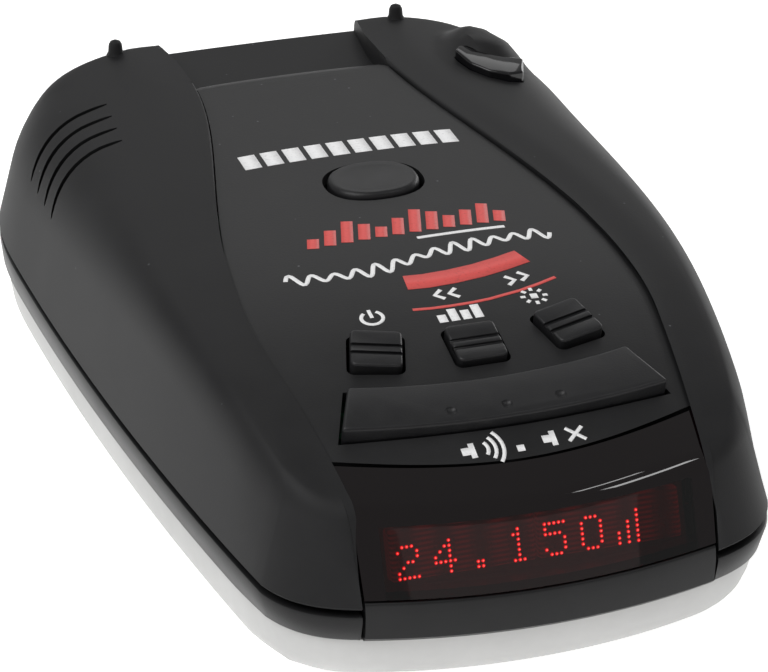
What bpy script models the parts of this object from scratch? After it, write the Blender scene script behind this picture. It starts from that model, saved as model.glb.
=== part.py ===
"""Windshield radar detector, built as an assembly of separate pieces.

Sizes are in millimetres and become metres through MM.  The display end looks along -Y, the antenna
end along +Y.  Inside the script, y is counted from the foremost point of the case, and place() turns
it into the frame of the finished part, whose origin is the bottom centre of the case.
"""
import math

import bmesh
import bpy
from mathutils import Matrix, Vector

MM = 0.001

# Overall sizes of the case
BODY_LENGTH = 110.9
BODY_WIDTH = 71.0
PANEL_HEIGHT = 29.5
SPLIT_HEIGHT = 11.3

# Walls, gaps and steps
WALL = 2.0
GAP = 0.3
SEAM_GAP = 0.42
SHADOW_GAP = 0.7
PANEL_STEP = 0.8
PANEL_THICKNESS = 1.3
SEAT_DEPTH = 1.5
FRONT_DRAFT = 3.7
SIDE_DRAFT = 2.2
REAR_SIDE_DRAFT = 3.4
REAR_DRAFT = 2.6
SHOULDER_ROUND = 4.8
REAR_SHOULDER_ROUND = 6.5
REAR_ROUND = 1.7
SHOULDER_FALL = 2.2
RIDGE_ROUND = 1.7
CROWN_DROP = 4.0
FRONT_FALL = 11.7
REAR_FALL = 1.0
STRIP_HEIGHT = 3.3
FLOOR = 1.5

# Keys and release button
KEY_WIDTH = 5.4
KEY_DEPTH = 5.6
KEY_TURN = 16.0
KEY_PROUD = 0.8
BAR_PROUD = 0.6
KEY_TRAVEL = 0.7
BAR_DEPTH = 6.2
BAR_HALF = 0.4592 * BODY_WIDTH / 2
BUTTON_WIDTH = 10.2
BUTTON_DEPTH = 8.4
BUTTON_TRAVEL = 1.5

# Electronics
BOARD_THICKNESS = 1.2
CELL_COUNT = 4
CELL_PITCH = 0.10873 * BODY_WIDTH / 2
SPEAKER_RADIUS = 9.0
POWER_BORE = 2.2
EARPHONE_BORE = 1.8
JACK_RIM = 0.35

HALF_WIDTH = BODY_WIDTH / 2
SEAM_FRONT = 0.535 * HALF_WIDTH
SEAM_WIDE = 0.614 * HALF_WIDTH
SEAM_REAR = 0.330 * HALF_WIDTH
SEAM_WIDE_Y = 0.291 * BODY_LENGTH
PANEL_REAR_Y = 0.842 * BODY_LENGTH
PEAK_Y = 0.541 * BODY_LENGTH
RECESS_FLOOR = PANEL_HEIGHT - REAR_FALL - 2.9
KEY_Y = 0.224 * BODY_LENGTH
BUTTON_Y = 0.543 * BODY_LENGTH
BOARD_Z = SPLIT_HEIGHT - 3.3

FRONT_ARC = ((0.0, 0.0), (0.19, 0.0), (0.36, 0.008), (0.535, 0.0245))
FRONT_CORNER = ((0.535, 0.0245), (0.658, 0.0361), (0.738, 0.0568), (0.777, 0.0947))
SIDE_SWEEP = ((0.777, 0.0947), (0.894, 0.309), (0.975, 0.544), (0.998, 0.785))
REAR_CORNER = ((0.998, 0.785), (1.010, 0.945), (0.880, 0.992), (0.470, 0.9970))
REAR_ARC = ((0.470, 0.9970), (0.309, 0.9992), (0.153, 1.0), (0.0, 1.0))
OUTLINE = (FRONT_ARC, FRONT_CORNER, SIDE_SWEEP, REAR_CORNER, REAR_ARC)
OUTLINE_STEPS = (4, 6, 8, 8, 2)


# ---------------------------------------------------------------- small tools
def clear_scene():
    for old in list(bpy.data.objects):
        bpy.data.objects.remove(old)


def make_collection(name):
    collection = bpy.data.collections.new(name)
    bpy.context.scene.collection.children.link(collection)
    return collection


def material(name, colour, roughness, metallic=0.0, alpha=1.0):
    mat = bpy.data.materials.new(name)
    mat.use_nodes = True
    shader = mat.node_tree.nodes["Principled BSDF"]
    shader.inputs["Base Color"].default_value = (*colour, 1.0)
    shader.inputs["Roughness"].default_value = roughness
    shader.inputs["Metallic"].default_value = metallic
    shader.inputs["Alpha"].default_value = alpha
    mat.diffuse_color = (*colour, alpha)
    return mat


def place(x, y, z):
    """A point of the case, y counted from its front, in the frame of the part."""
    return Vector((x * MM, (y - BODY_LENGTH / 2) * MM, z * MM))


def add_object(name, mesh, mat, collection=None):
    obj = bpy.data.objects.new(name, mesh)
    (collection or PARTS).objects.link(obj)
    if mat is not None:
        mesh.materials.append(mat)
    return obj


def finish_bmesh(bm, name):
    bmesh.ops.recalc_face_normals(bm, faces=bm.faces)
    mesh = bpy.data.meshes.new(name)
    bm.to_mesh(mesh)
    bm.free()
    return mesh


def loft(name, sections, mat, closed=False, collection=None, origin=(0.0, 0.0, 0.0)):
    """Skin a row of equal-length closed sections; the ends are capped unless the row is closed."""
    bm = bmesh.new()
    base = Vector(origin)
    rows = [[bm.verts.new(Vector(p) - base) for p in section] for section in sections]
    count = len(rows[0])
    pairs = list(zip(rows, rows[1:]))
    if closed:
        pairs.append((rows[-1], rows[0]))
    for low, high in pairs:
        for i in range(count):
            j = (i + 1) % count
            bm.faces.new((low[i], low[j], high[j], high[i]))
    if not closed:
        bm.faces.new(rows[0])
        bm.faces.new(rows[-1])
    obj = add_object(name, finish_bmesh(bm, name), mat, collection)
    obj.location = base
    return obj


def box(name, size, centre, mat, turn=None, collection=None):
    bm = bmesh.new()
    bmesh.ops.create_cube(bm, size=1.0)
    bmesh.ops.scale(bm, vec=Vector(size) * MM, verts=bm.verts)
    obj = add_object(name, finish_bmesh(bm, name), mat, collection)
    obj.matrix_world = Matrix.Translation(centre) @ (turn or Matrix.Identity(4))
    return obj


def cylinder(name, radius, length, centre, mat, turn=None, collection=None, top=None, sides=24):
    bm = bmesh.new()
    bmesh.ops.create_cone(bm, cap_ends=True, segments=sides, radius1=radius * MM,
                          radius2=(radius if top is None else top) * MM, depth=length * MM)
    obj = add_object(name, finish_bmesh(bm, name), mat, collection)
    obj.matrix_world = Matrix.Translation(centre) @ (turn or Matrix.Identity(4))
    return obj


def prism(name, outline, low, high, mat, frame=None, collection=None):
    """A straight prism on a plan outline in millimetres, standing from low to high."""
    frame = frame or Matrix.Identity(4)
    sections = [[Vector((x * MM, y * MM, z * MM)) for x, y in outline] for z in (low, high)]
    obj = loft(name, sections, mat, collection=collection)
    obj.matrix_world = frame
    return obj


def bake(obj):
    """Apply modifiers, then fold scale and rotation into the mesh, keeping the origin."""
    depsgraph = bpy.context.evaluated_depsgraph_get()
    mesh = bpy.data.meshes.new_from_object(obj.evaluated_get(depsgraph))
    obj.modifiers.clear()
    obj.data = mesh
    return obj


def sew(obj):
    """Weld points a boolean left side by side and close the hairline gaps between them."""
    bm = bmesh.new()
    bm.from_mesh(obj.data)
    bmesh.ops.remove_doubles(bm, verts=bm.verts, dist=0.002 * MM)
    bmesh.ops.dissolve_degenerate(bm, dist=0.001 * MM, edges=bm.edges)
    bmesh.ops.holes_fill(bm, edges=[edge for edge in bm.edges if edge.is_boundary], sides=6)
    bm.to_mesh(obj.data)
    bm.free()
    return obj


def combine(obj, other, operation):
    bpy.context.view_layer.update()
    mod = obj.modifiers.new(operation.lower(), "BOOLEAN")
    mod.operation = operation
    mod.solver = "EXACT"
    mod.object = other
    bake(obj)
    if other.users_collection[0] != CUTTERS:
        other.users_collection[0].objects.unlink(other)
        CUTTERS.objects.link(other)
    other.hide_render = True
    other.display_type = "WIRE"
    other.data.materials.clear()
    return sew(obj)


def cut(obj, *tools):
    for tool in tools:
        combine(obj, tool, "DIFFERENCE")
    return obj


def join(obj, *tools):
    for tool in tools:
        combine(obj, tool, "UNION")
    return obj


def soften(obj, width, segments=2, angle=30.0):
    mod = obj.modifiers.new("bevel", "BEVEL")
    mod.width = width * MM
    mod.segments = segments
    mod.limit_method = "ANGLE"
    mod.angle_limit = math.radians(angle)
    bake(obj)
    return obj


def smooth(obj, angle=38.0):
    for face in obj.data.polygons:
        face.use_smooth = True
    obj.data.set_sharp_from_angle(angle=math.radians(angle))
    return obj


# ---------------------------------------------------------------- shape rules of the case
def bezier(points, steps):
    """Points of a cubic curve, without its last one."""
    result = []
    for i in range(steps):
        t = i / steps
        a, b, c, d = (1 - t) ** 3, 3 * t * (1 - t) ** 2, 3 * t * t * (1 - t), t ** 3
        x = a * points[0][0] + b * points[1][0] + c * points[2][0] + d * points[3][0]
        y = a * points[0][1] + b * points[1][1] + c * points[2][1] + d * points[3][1]
        result.append((x * HALF_WIDTH, y * BODY_LENGTH))
    return result


def half_outline():
    """Right half of the case outline at the split, from the front centre to the rear centre."""
    points = []
    for curve, steps in zip(OUTLINE, OUTLINE_STEPS):
        points += bezier(curve, steps)
    return points + [(0.0, BODY_LENGTH)]


def half_normals(points):
    """Outward plan normals at the points of the right half outline."""
    normals = []
    for i, (x, y) in enumerate(points):
        before = points[i - 1] if i else (-points[1][0], points[1][1])
        after = points[i + 1] if i + 1 < len(points) else (-points[-2][0], points[-2][1])
        tangent = Vector((after[0] - before[0], after[1] - before[1])).normalized()
        normals.append((tangent.y, -tangent.x))
    return normals


def ease(value):
    value = max(0.0, min(1.0, value))
    return value * value * (3 - 2 * value)


def front_share(y):
    """1 at the display end, 0 along the sides and the antenna end."""
    return 1.0 - ease((y - 0.045 * BODY_LENGTH) / (0.12 * BODY_LENGTH))


def rear_share(y):
    """0 up to the widest part of the seams, rising to 1 beside the antenna end."""
    return ease((y / BODY_LENGTH - 0.30) / 0.48)


def back_face(normal_y):
    """1 where the wall looks straight back, 0 where it looks sideways."""
    return max(0.0, normal_y) ** 3


def inset_half(side_inset, front_inset, rear_side_inset=None, rear_inset=None):
    points = half_outline()
    normals = half_normals(points)
    moved = []
    for (x, y), (nx, ny) in zip(points, normals):
        share = front_share(y)
        side = side_inset
        if rear_side_inset is not None:
            side += (rear_side_inset - side_inset) * rear_share(y)
            side += (rear_inset - side) * back_face(ny)
        depth = side + (front_inset - side) * share
        moved.append((x - nx * depth, y - ny * depth))
    return moved


def full_ring(half):
    """Right half points, then the left half mirrored from the rear back to the front."""
    return half + [(-x, y) for x, y in reversed(half[1:-1])]


def panel_z(y):
    """Height of the centre line of the control panel."""
    if y < PEAK_Y:
        return PANEL_HEIGHT - FRONT_FALL * ((PEAK_Y - y) / PEAK_Y) ** 3
    return PANEL_HEIGHT - REAR_FALL * ((y - PEAK_Y) / (PANEL_REAR_Y - PEAK_Y)) ** 2


def crown(x):
    return CROWN_DROP * (abs(x) / HALF_WIDTH) ** 2.4


def skin_z(x, y):
    return panel_z(y) - crown(x)


def shoulder_z(x, y):
    """Height of the cover beside the panel; it falls away to the sides at the antenna end."""
    outward = max(0.0, abs(x) - seam_x(min(y, PANEL_REAR_Y))) / (HALF_WIDTH - SEAM_REAR)
    return skin_z(x, y) + PANEL_STEP - SHOULDER_FALL * rear_share(y) * outward ** 2


def seam_x(y):
    """Half width of the control panel at y."""
    if y <= SEAM_WIDE_Y:
        front_y = 0.0245 * BODY_LENGTH
        return SEAM_FRONT + (SEAM_WIDE - SEAM_FRONT) * (y - front_y) / (SEAM_WIDE_Y - front_y)
    t = (y - SEAM_WIDE_Y) / (PANEL_REAR_Y - SEAM_WIDE_Y)
    return SEAM_WIDE + (SEAM_REAR - SEAM_WIDE) * (0.25 * t + 0.75 * ease(t) ** 1.25)


def slope_angle(y):
    return math.atan((panel_z(y + 1.0) - panel_z(y - 1.0)) / 2.0)


def key_frame():
    """Plane the keys and their switches lie in: its +Z is the direction the keys move out."""
    angle = slope_angle(KEY_Y - 1.5)
    return Matrix.Translation(place(0.0, KEY_Y, panel_z(KEY_Y))) @ Matrix.Rotation(angle, 4, "X")


# ---------------------------------------------------------------- case
def rounded_corner(low, edge, high, steps):
    """Curve that turns from one wall into the other without a corner at edge."""
    result = []
    for i in range(steps + 1):
        t = i / steps
        result.append((1 - t) ** 2 * low + 2 * t * (1 - t) * edge + t * t * high)
    return result


def cover_stations():
    """Outer bottom point, top edge point and seam point of every section of the top cover."""
    base = half_outline()
    edge = inset_half(SIDE_DRAFT, FRONT_DRAFT, REAR_SIDE_DRAFT, REAR_DRAFT)
    first = OUTLINE_STEPS[0]
    corner = sum(OUTLINE_STEPS[:3]) + OUTLINE_STEPS[3] // 2
    last = len(base) - 1
    stations = []
    for i in range(first, last + 1):
        if i <= corner:
            t = (i - first) / (corner - first)
            y = SEAM_WIDE_Y + (PANEL_REAR_Y - SEAM_WIDE_Y) * t
            seam = (seam_x(y), y)
        else:
            t = (i - corner) / (last - corner)
            seam = (SEAM_REAR * (1 - t), PANEL_REAR_Y)
        stations.append((base[i], edge[i], seam, i - first))
    left = [((-b[0], b[1]), (-e[0], e[1]), (-s[0], s[1]), n) for b, e, s, n in reversed(stations[:-1])]
    return stations + left


def cover_section(station):
    base, edge, seam, number = station
    if number == 0:
        side = 1.0 if base[0] > 0 else -1.0
        base = (side * SEAM_FRONT, base[1])
        edge = (side * seam_x(edge[1]), edge[1])
    share = front_share(base[1])
    away = Vector((base[0] - edge[0], base[1] - edge[1])).normalized()
    side_round = SHOULDER_ROUND + (REAR_SHOULDER_ROUND - SHOULDER_ROUND) * rear_share(base[1])
    side_round += (REAR_ROUND - side_round) * back_face(away.y)
    rounding = RIDGE_ROUND * share + side_round * (1 - share)
    low = place(base[0], base[1], SPLIT_HEIGHT)
    top = place(edge[0], edge[1], shoulder_z(*edge))
    inward = Vector((seam[0] - edge[0], seam[1] - edge[1]))
    reach = inward.length
    inward.normalize()
    up = (top - low).normalized()

    def over(distance, sink=0.0):
        x = edge[0] + inward.x * distance
        y = edge[1] + inward.y * distance
        return place(x, y, shoulder_z(x, y) - sink)

    outside = [low] + rounded_corner(top - up * rounding * MM, top, over(rounding), 4)
    for part in (0.3, 0.62, 0.85):
        outside.append(over(rounding + (reach - rounding) * part))
    outside.append(over(reach - 0.35))
    lip = [over(reach, 0.3), over(reach, PANEL_STEP + PANEL_THICKNESS + GAP + SEAT_DEPTH)]
    inner_corner = over(WALL + 0.2, WALL)
    inside = [over(rounding + (reach - rounding) * part, WALL) for part in (0.8, 0.4)]
    turn_in = rounded_corner(over(rounding + 0.9, WALL), inner_corner,
                             inner_corner - up * (rounding * 0.8) * MM, 2)
    foot = Vector((low.x, low.y, low.z)) + Vector((inward.x, inward.y, 0.0)) * WALL * MM
    return outside + lip + inside + turn_in + [foot]


def flat_faces(obj):
    """Splits the skin into triangles, so that every face a later cut meets is truly flat."""
    bm = bmesh.new()
    bm.from_mesh(obj.data)
    bmesh.ops.triangulate(bm, faces=bm.faces)
    bm.to_mesh(obj.data)
    bm.free()
    return obj


def build_top_cover():
    sections = [cover_section(s) for s in cover_stations()]
    cover = flat_faces(loft("top_cover", sections, MAT["soft_black"]))
    join(cover, recess_pan(), hood_mound(), *rear_nibs())
    join(cover, speaker_well())
    cut(cover, *recess_tools())
    cut(cover, sensor_pocket_tool())
    cut(cover, *slot_tools())
    return smooth(cover)


def recess_pan():
    """Pan under the recess between the two shoulders, where the windshield bracket slides in."""
    half = SEAM_REAR + 2.73
    low = RECESS_FLOOR - 1.7
    sections = []
    for y, high in ((PANEL_REAR_Y - 5.8, RECESS_FLOOR + 2.15), (BODY_LENGTH - 7.57, RECESS_FLOOR + 1.85),
                    (BODY_LENGTH - 3.05, RECESS_FLOOR + 0.42)):
        sections.append([place(-half, y, low), place(half, y, low), place(half, y, high),
                         place(-half, y, high)])
    return loft("recess_pan_tool", sections, None, collection=CUTTERS)


def recess_tools():
    """The open recess floor, and a slightly deeper stretch of it that runs on under the panel."""
    rear = BODY_LENGTH + 2
    start = PANEL_REAR_Y + 0.1
    outline = [(-SEAM_REAR - 0.1, start), (SEAM_REAR + 0.1, start), (SEAM_REAR + 0.1, start + 8),
               (SEAM_REAR + 1.2, rear), (-SEAM_REAR - 1.2, rear), (-SEAM_REAR - 0.1, start + 8)]
    outline = [(x, y - BODY_LENGTH / 2) for x, y in outline]
    floor = prism("recess_tool", outline, RECESS_FLOOR, PANEL_HEIGHT + 6, None, collection=CUTTERS)
    centre = place(0.0, start - 3.1, RECESS_FLOOR + 4.7)
    under = box("recess_entry_tool", (2 * SEAM_REAR + 0.2, 6.24, 10.0), centre, None, collection=CUTTERS)
    return [under, floor]


def hood_ring(scale, lift):
    ring = []
    for i in range(22):
        angle = 2 * math.pi * i / 22
        wide = 4.6 * scale * math.cos(angle)
        along = math.sin(angle)
        long = (9.5 if along > 0 else 5.0) * along * scale
        wide *= 1.0 - 0.35 * max(0.0, along)
        x = HOOD_X + wide - 0.10 * long
        y = HOOD_Y + long
        ring.append(place(x, y, shoulder_z(x, y) + lift))
    return ring


HOOD_X = 0.650 * HALF_WIDTH
HOOD_Y = 0.826 * BODY_LENGTH


def hood_mound():
    rings = [hood_ring(1.0, -0.9), hood_ring(1.0, 0.05), hood_ring(0.93, 0.75), hood_ring(0.80, 1.35),
             hood_ring(0.60, 1.8), hood_ring(0.32, 2.0)]
    return loft("hood_tool", rings, None, collection=CUTTERS)


def sensor_outline(grow):
    """Plan of the rear sensor window: a prow towards the display end."""
    plan = [(-2.7, 0.4), (-1.2, -5.6), (1.2, -7.0), (2.9, -6.6), (3.9, -2.6), (1.3, -1.5), (-0.9, 1.0)]
    centre = Vector((0.6, -3.2))
    result = []
    for x, y in plan:
        away = (Vector((x, y)) - centre).normalized() * grow
        result.append((HOOD_X + x + away.x, HOOD_Y + y + away.y - BODY_LENGTH / 2))
    return result


def sensor_pocket_tool():
    base = shoulder_z(HOOD_X, HOOD_Y - 3)
    return prism("sensor_pocket_tool", sensor_outline(GAP * 1.2), base - 1.0, base + 6, None,
                 collection=CUTTERS)


def rear_nibs():
    nibs = []
    for side in (-1, 1):
        x = side * 0.494 * HALF_WIDTH
        y = BODY_LENGTH - 4.6
        spot = place(x, y, shoulder_z(x, y) + 0.1)
        nibs.append(cylinder("nib_tool", 0.95, 2.6, spot, None, collection=CUTTERS, top=0.55, sides=14))
    return nibs


def slot_tools():
    """Four curved speaker slots, as upright curved blades."""
    tools = []
    for i in range(4):
        start = Vector((-0.905 * HALF_WIDTH, 0.788 * BODY_LENGTH - 3.4 * i))
        finish = Vector((-0.640 * HALF_WIDTH, 0.835 * BODY_LENGTH - 3.5 * i))
        middle = (start + finish) / 2 + Vector((-1.5, 1.5))
        path = rounded_corner(start, middle * 2 - (start + finish) / 2, finish, 7)
        sections = []
        for j, point in enumerate(path):
            before = path[max(0, j - 1)]
            after = path[min(len(path) - 1, j + 1)]
            along = (after - before).normalized()
            across = Vector((along.y, -along.x)) * 0.55
            a = point + across
            b = point - across
            z = PANEL_HEIGHT
            sections.append([place(a.x, a.y, z - 9.6), place(b.x, b.y, z - 9.6),
                             place(b.x, b.y, z + 4), place(a.x, a.y, z + 4)])
        tools.append(loft("slot_tool", sections, None, collection=CUTTERS))
    return tools


def panel_front_y(x):
    """Line where the matte panel meets the gloss front lens, bowed towards the display end."""
    return 0.0785 * BODY_LENGTH + 3.9 * (x / SEAM_FRONT) ** 2


def panel_rows():
    """Shares of the panel's length at which its sections lie, level with those of the cover."""
    start = panel_front_y(SEAM_FRONT) + GAP
    reach = PANEL_REAR_Y - GAP - start
    count = sum(OUTLINE_STEPS[1:3]) + OUTLINE_STEPS[3] // 2
    ahead = [(SEAM_WIDE_Y - start) * i / 4 / reach for i in range(4)]
    level = [SEAM_WIDE_Y + (PANEL_REAR_Y - SEAM_WIDE_Y) * i / count for i in range(count)]
    return ahead + [(y - start) / reach for y in level] + [1.0]


PANEL_POSTS = ((-5.3, 4.5), (5.3, 4.5), (-14.6, -12.3), (14.6, -12.3))


def build_control_panel():
    columns = 8
    sections = []
    for t in panel_rows():
        top = []
        under = []
        for j in range(columns + 1):
            u = 2 * j / columns - 1
            guess = 0.115 * BODY_LENGTH
            edge = seam_x(guess) - SEAM_GAP
            start = panel_front_y(u * edge) + GAP
            y = start + (PANEL_REAR_Y - GAP - start) * t
            x = u * (seam_x(y) - SEAM_GAP)
            top.append(place(x, y, skin_z(x, y)))
            x = u * (seam_x(y) - SEAM_GAP - 0.4)
            under.append(place(x, y, skin_z(x, y) - PANEL_THICKNESS))
        sections.append(top + under[::-1])
    panel = loft("control_panel", sections, MAT["panel_black"])
    for x, y in PANEL_POSTS:
        low = -BOARD_SINK + GAP
        high = -0.8
        spot = key_frame() @ Vector((x * MM, y * MM, (low + high) / 2 * MM))
        join(panel, cylinder("panel_post_tool", 1.1, high - low, spot, None, key_frame().to_3x3().to_4x4(),
                             CUTTERS, sides=12))
    cut(panel, *key_hole_tools())
    cut(panel, oval_tool("button_hole_tool", 0.55, RECESS_FLOOR, PANEL_HEIGHT + 3))
    return smooth(panel)


def front_profile(x, z):
    """y of the case front face at height z, leaning back from the split to the ridge."""
    reach = (0.0245 * BODY_LENGTH) * (x / SEAM_FRONT) ** 2
    ridge_z = panel_z(FRONT_DRAFT + reach)
    return reach + FRONT_DRAFT * (z - SPLIT_HEIGHT) / (ridge_z - SPLIT_HEIGHT)


def lens_outside(x_fraction, shift):
    """Outer side of one slice of the lens, from its lower edge over the ridge to the panel."""
    def at(y, z, drop):
        x = x_fraction * (seam_x(y) - GAP)
        return place(x, y, z - crown(x) * drop - shift)

    low_z = SPLIT_HEIGHT + 1.0
    x_front = x_fraction * SEAM_FRONT
    reach = (0.0245 * BODY_LENGTH) * x_fraction ** 2
    ridge_y = FRONT_DRAFT + reach
    ridge = at(ridge_y, panel_z(ridge_y) + 0.2, 1.0)
    low = at(front_profile(x_front, low_z), low_z, 0.0)
    back_y = panel_front_y(x_front)
    back = at(back_y, panel_z(back_y), 1.0)
    down = (low - ridge).normalized() * RIDGE_ROUND * MM
    over = (back - ridge).normalized() * RIDGE_ROUND * MM
    turn = rounded_corner(ridge + down, ridge, ridge + over, 5)
    middle_y = (ridge_y + RIDGE_ROUND + back_y) / 2
    middle = at(middle_y, panel_z(middle_y) + 0.05, 1.0)
    return [low, (low + turn[0]) / 2] + turn + [middle, back]


def build_front_lens():
    columns = 12
    thickness = 1.8
    sections = []
    for j in range(columns + 1):
        u = 2 * j / columns - 1
        outside = lens_outside(u, 0.0)
        inside = []
        for k, point in enumerate(outside):
            before = outside[max(0, k - 1)]
            after = outside[min(len(outside) - 1, k + 1)]
            along = (after - before).normalized()
            inward = Vector((0.0, along.z, -along.y))
            if k == 0:
                inward = Vector((0.0, 1.05, 0.0))
            if k == len(outside) - 1:
                inward = Vector((0.0, 0.0, -1.0))
            inside.append(point + inward * thickness * MM)
        sections.append(outside + inside[::-1])
    return smooth(loft("front_lens", sections, MAT["lens_red"]), 50)


def build_front_bezel():
    """Black strip under the lens, between the two seams, with a ledge for the lens foot."""
    columns = 12
    low_z = SPLIT_HEIGHT - SHADOW_GAP - STRIP_HEIGHT
    sections = []
    for j in range(columns + 1):
        u = 2 * j / columns - 1
        x = u * (SEAM_FRONT - GAP)
        reach = (0.0245 * BODY_LENGTH) * u ** 2
        high_z = SPLIT_HEIGHT + 0.75
        lean = front_profile(u * SEAM_FRONT, high_z)
        sections.append([place(x, reach + 0.9, low_z), place(x, reach + 0.25, low_z + 0.6),
                         place(x, reach + 0.05, SPLIT_HEIGHT - SHADOW_GAP), place(x, lean, high_z - 0.3),
                         place(x, lean + 0.3, high_z), place(x, reach + 3.9, high_z),
                         place(x, reach + 3.9, high_z - 1.4), place(x, reach + 2.6, high_z - 2.0),
                         place(x, reach + 2.6, low_z)])
    return smooth(loft("front_bezel", sections, MAT["bezel_black"]), 30)


def strip_stations():
    first = OUTLINE_STEPS[0]
    half = half_outline()[first:]
    normals = half_normals(half_outline())[first:]
    right = list(zip(half, normals))
    left = [((-p[0], p[1]), (-n[0], n[1])) for p, n in reversed(right[:-1])]
    return right + left


def build_mid_frame():
    """Black frame between cover and tray: a visible strip and a neck that locates the cover."""
    strip_top = SPLIT_HEIGHT - SHADOW_GAP
    low_z = strip_top - STRIP_HEIGHT
    neck_in = WALL + GAP + 0.3
    sections = []
    for point, normal in strip_stations():
        share = front_share(point[1])

        if abs(abs(point[0]) - SEAM_FRONT) < 0.01:
            normal = (0.0, -1.0)

        def at(depth, z, point=point, normal=normal):
            return place(point[0] - normal[0] * depth, point[1] - normal[1] * depth, z)

        draft = 0.45 + 0.5 * share
        sections.append([at(draft, low_z), at(0.1, strip_top - 0.4), at(0.35, strip_top),
                         at(neck_in, strip_top), at(neck_in + 0.5 + 0.8 * share, strip_top + 2.4),
                         at(neck_in + 1.4 + 1.2 * share, strip_top + 2.4),
                         at(neck_in + 1.4 + 1.2 * share, strip_top - 0.4), at(2.0, low_z)])
    frame = loft("mid_frame", sections, MAT["strip_black"])
    for x, y in SCREW_SPOTS:
        direction = Vector((x, y - 0.5 * BODY_LENGTH)).normalized()
        reach = 3.0 + 0.36 * HALF_WIDTH
        middle = reach / 2 - 3.0
        lug = box("lug_tool", (reach, 7.0, 3.0), place(x + direction.x * middle, y + direction.y * middle,
                                                       strip_top + 1.7), None,
                  Matrix.Rotation(math.atan2(direction.y, direction.x), 4, "Z"), CUTTERS)
        keep = lug_keeper(strip_top)
        combine(lug, keep, "INTERSECT")
        join(frame, lug)
        cut(frame, cylinder("lug_hole_tool", 1.05, 9.0, place(x, y, strip_top + 1.6), None,
                            collection=CUTTERS, sides=18))
    return smooth(frame, 30)


def lug_keeper(z):
    ring = full_ring(inset_half(WALL + GAP + 0.8, WALL + GAP + 0.8))
    sections = [[place(x, y, level) for x, y in ring] for level in (z - 2, z + 6)]
    return loft("lug_keeper_tool", sections, None, collection=CUTTERS)


SCREW_SPOTS = [(side * share * HALF_WIDTH, along * BODY_LENGTH)
               for share, along in ((0.565, 0.160), (0.730, 0.855)) for side in (-1, 1)]


def build_lower_case():
    """Light grey tray with drafted walls, a flat floor and four screw posts."""
    rim_z = SPLIT_HEIGHT - SHADOW_GAP - STRIP_HEIGHT - 0.1
    levels = [(4.8, 8.8, 0.0), (3.6, 7.0, 0.25), (2.1, 4.1, 1.5), (1.3, 2.8, 3.0),
              (0.8, 1.5, rim_z - 0.35), (1.1, 1.8, rim_z),
              (0.8 + WALL, 1.5 + WALL, rim_z), (2.4 + WALL, 3.7 + WALL, 3.6), (8.6, 10.2, FLOOR)]
    sections = []
    for side_inset, front_inset, z in levels:
        ring = full_ring(inset_half(side_inset, front_inset))
        sections.append([place(x, y, z) for x, y in ring])
    case = loft("lower_case", sections, MAT["case_grey"])
    for x, y in SCREW_SPOTS:
        height = BOARD_Z - GAP
        join(case, cylinder("post_tool", 2.9, height - 0.5, place(x, y, 0.5 + (height - 0.5) / 2), None,
                            collection=CUTTERS))
        cut(case, cylinder("screw_hole_tool", 1.3, 20.0, place(x, y, 6.0), None, collection=CUTTERS,
                           sides=18),
            cylinder("screw_seat_tool", 2.25, 4.2, place(x, y, 0.6), None, collection=CUTTERS))
    cut(case, *jack_tools(), label_tool())
    return smooth(case, 30)


LABEL_WIDTH = 0.55 * BODY_WIDTH
LABEL_LENGTH = 0.30 * BODY_LENGTH
LABEL_Y = 0.55 * BODY_LENGTH


def rounded_rectangle(width, depth, radius, steps=4):
    points = []
    for quarter, (sx, sy) in enumerate(((1, 1), (-1, 1), (-1, -1), (1, -1))):
        for i in range(steps + 1):
            angle = math.pi / 2 * (quarter + i / steps)
            points.append((sx * (width / 2 - radius) + radius * math.cos(angle),
                           sy * (depth / 2 - radius) + radius * math.sin(angle)))
    return points


def label_tool():
    frame = Matrix.Translation(place(0.0, LABEL_Y, 0.0))
    return prism("label_tool", rounded_rectangle(LABEL_WIDTH + 2 * GAP, LABEL_LENGTH + 2 * GAP, 2.3),
                 -1.0, 0.55, None, frame, CUTTERS)


def build_rating_label():
    frame = Matrix.Translation(place(0.0, LABEL_Y, 0.0))
    return prism("rating_label", rounded_rectangle(LABEL_WIDTH, LABEL_LENGTH, 2.0), 0.1, 0.25,
                 MAT["label_silver"], frame)


# ---------------------------------------------------------------- side sockets
POWER_Y = 0.47 * BODY_LENGTH
EARPHONE_Y = 0.60 * BODY_LENGTH
JACK_Z = 4.1
JACK_SETBACK = 5.0


def wall_x(y):
    """Outer half width of the tray at y, just above its floor."""
    half = inset_half(0.9, 1.6)
    for (xa, ya), (xb, yb) in zip(half, half[1:]):
        if ya <= y <= yb:
            return xa + (xb - xa) * (y - ya) / (yb - ya)
    return HALF_WIDTH


def jack_tools():
    across = Matrix.Rotation(math.pi / 2, 4, "Y")
    tools = []
    for y, radius in ((POWER_Y, POWER_BORE), (EARPHONE_Y, EARPHONE_BORE)):
        tools.append(cylinder("jack_tool", radius + JACK_RIM + GAP, 14.0, place(wall_x(y) - 0.7, y, JACK_Z),
                              None, across, CUTTERS, sides=28))
    return tools


def build_jack(name, y, bore, width, depth, mat):
    """Board socket lying under the main board, with its mouth in the right-hand wall."""
    inner = wall_x(y) - WALL - JACK_SETBACK
    body = box(name, (depth, width, 3.8), place(inner - depth / 2, y, JACK_Z + 0.45), mat)
    soften(body, 0.3, 1)
    across = Matrix.Rotation(math.pi / 2, 4, "Y")
    length = JACK_SETBACK + 1.6
    join(body, cylinder("collar_tool", bore + JACK_RIM, length, place(inner + length / 2 - 0.3, y, JACK_Z),
                        None, across, CUTTERS, sides=28))
    cut(body, cylinder("bore_tool", bore, depth + 2.6, place(inner + length - 0.4, y, JACK_Z), None, across,
                       CUTTERS, sides=28))
    return smooth(body, 30)


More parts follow.
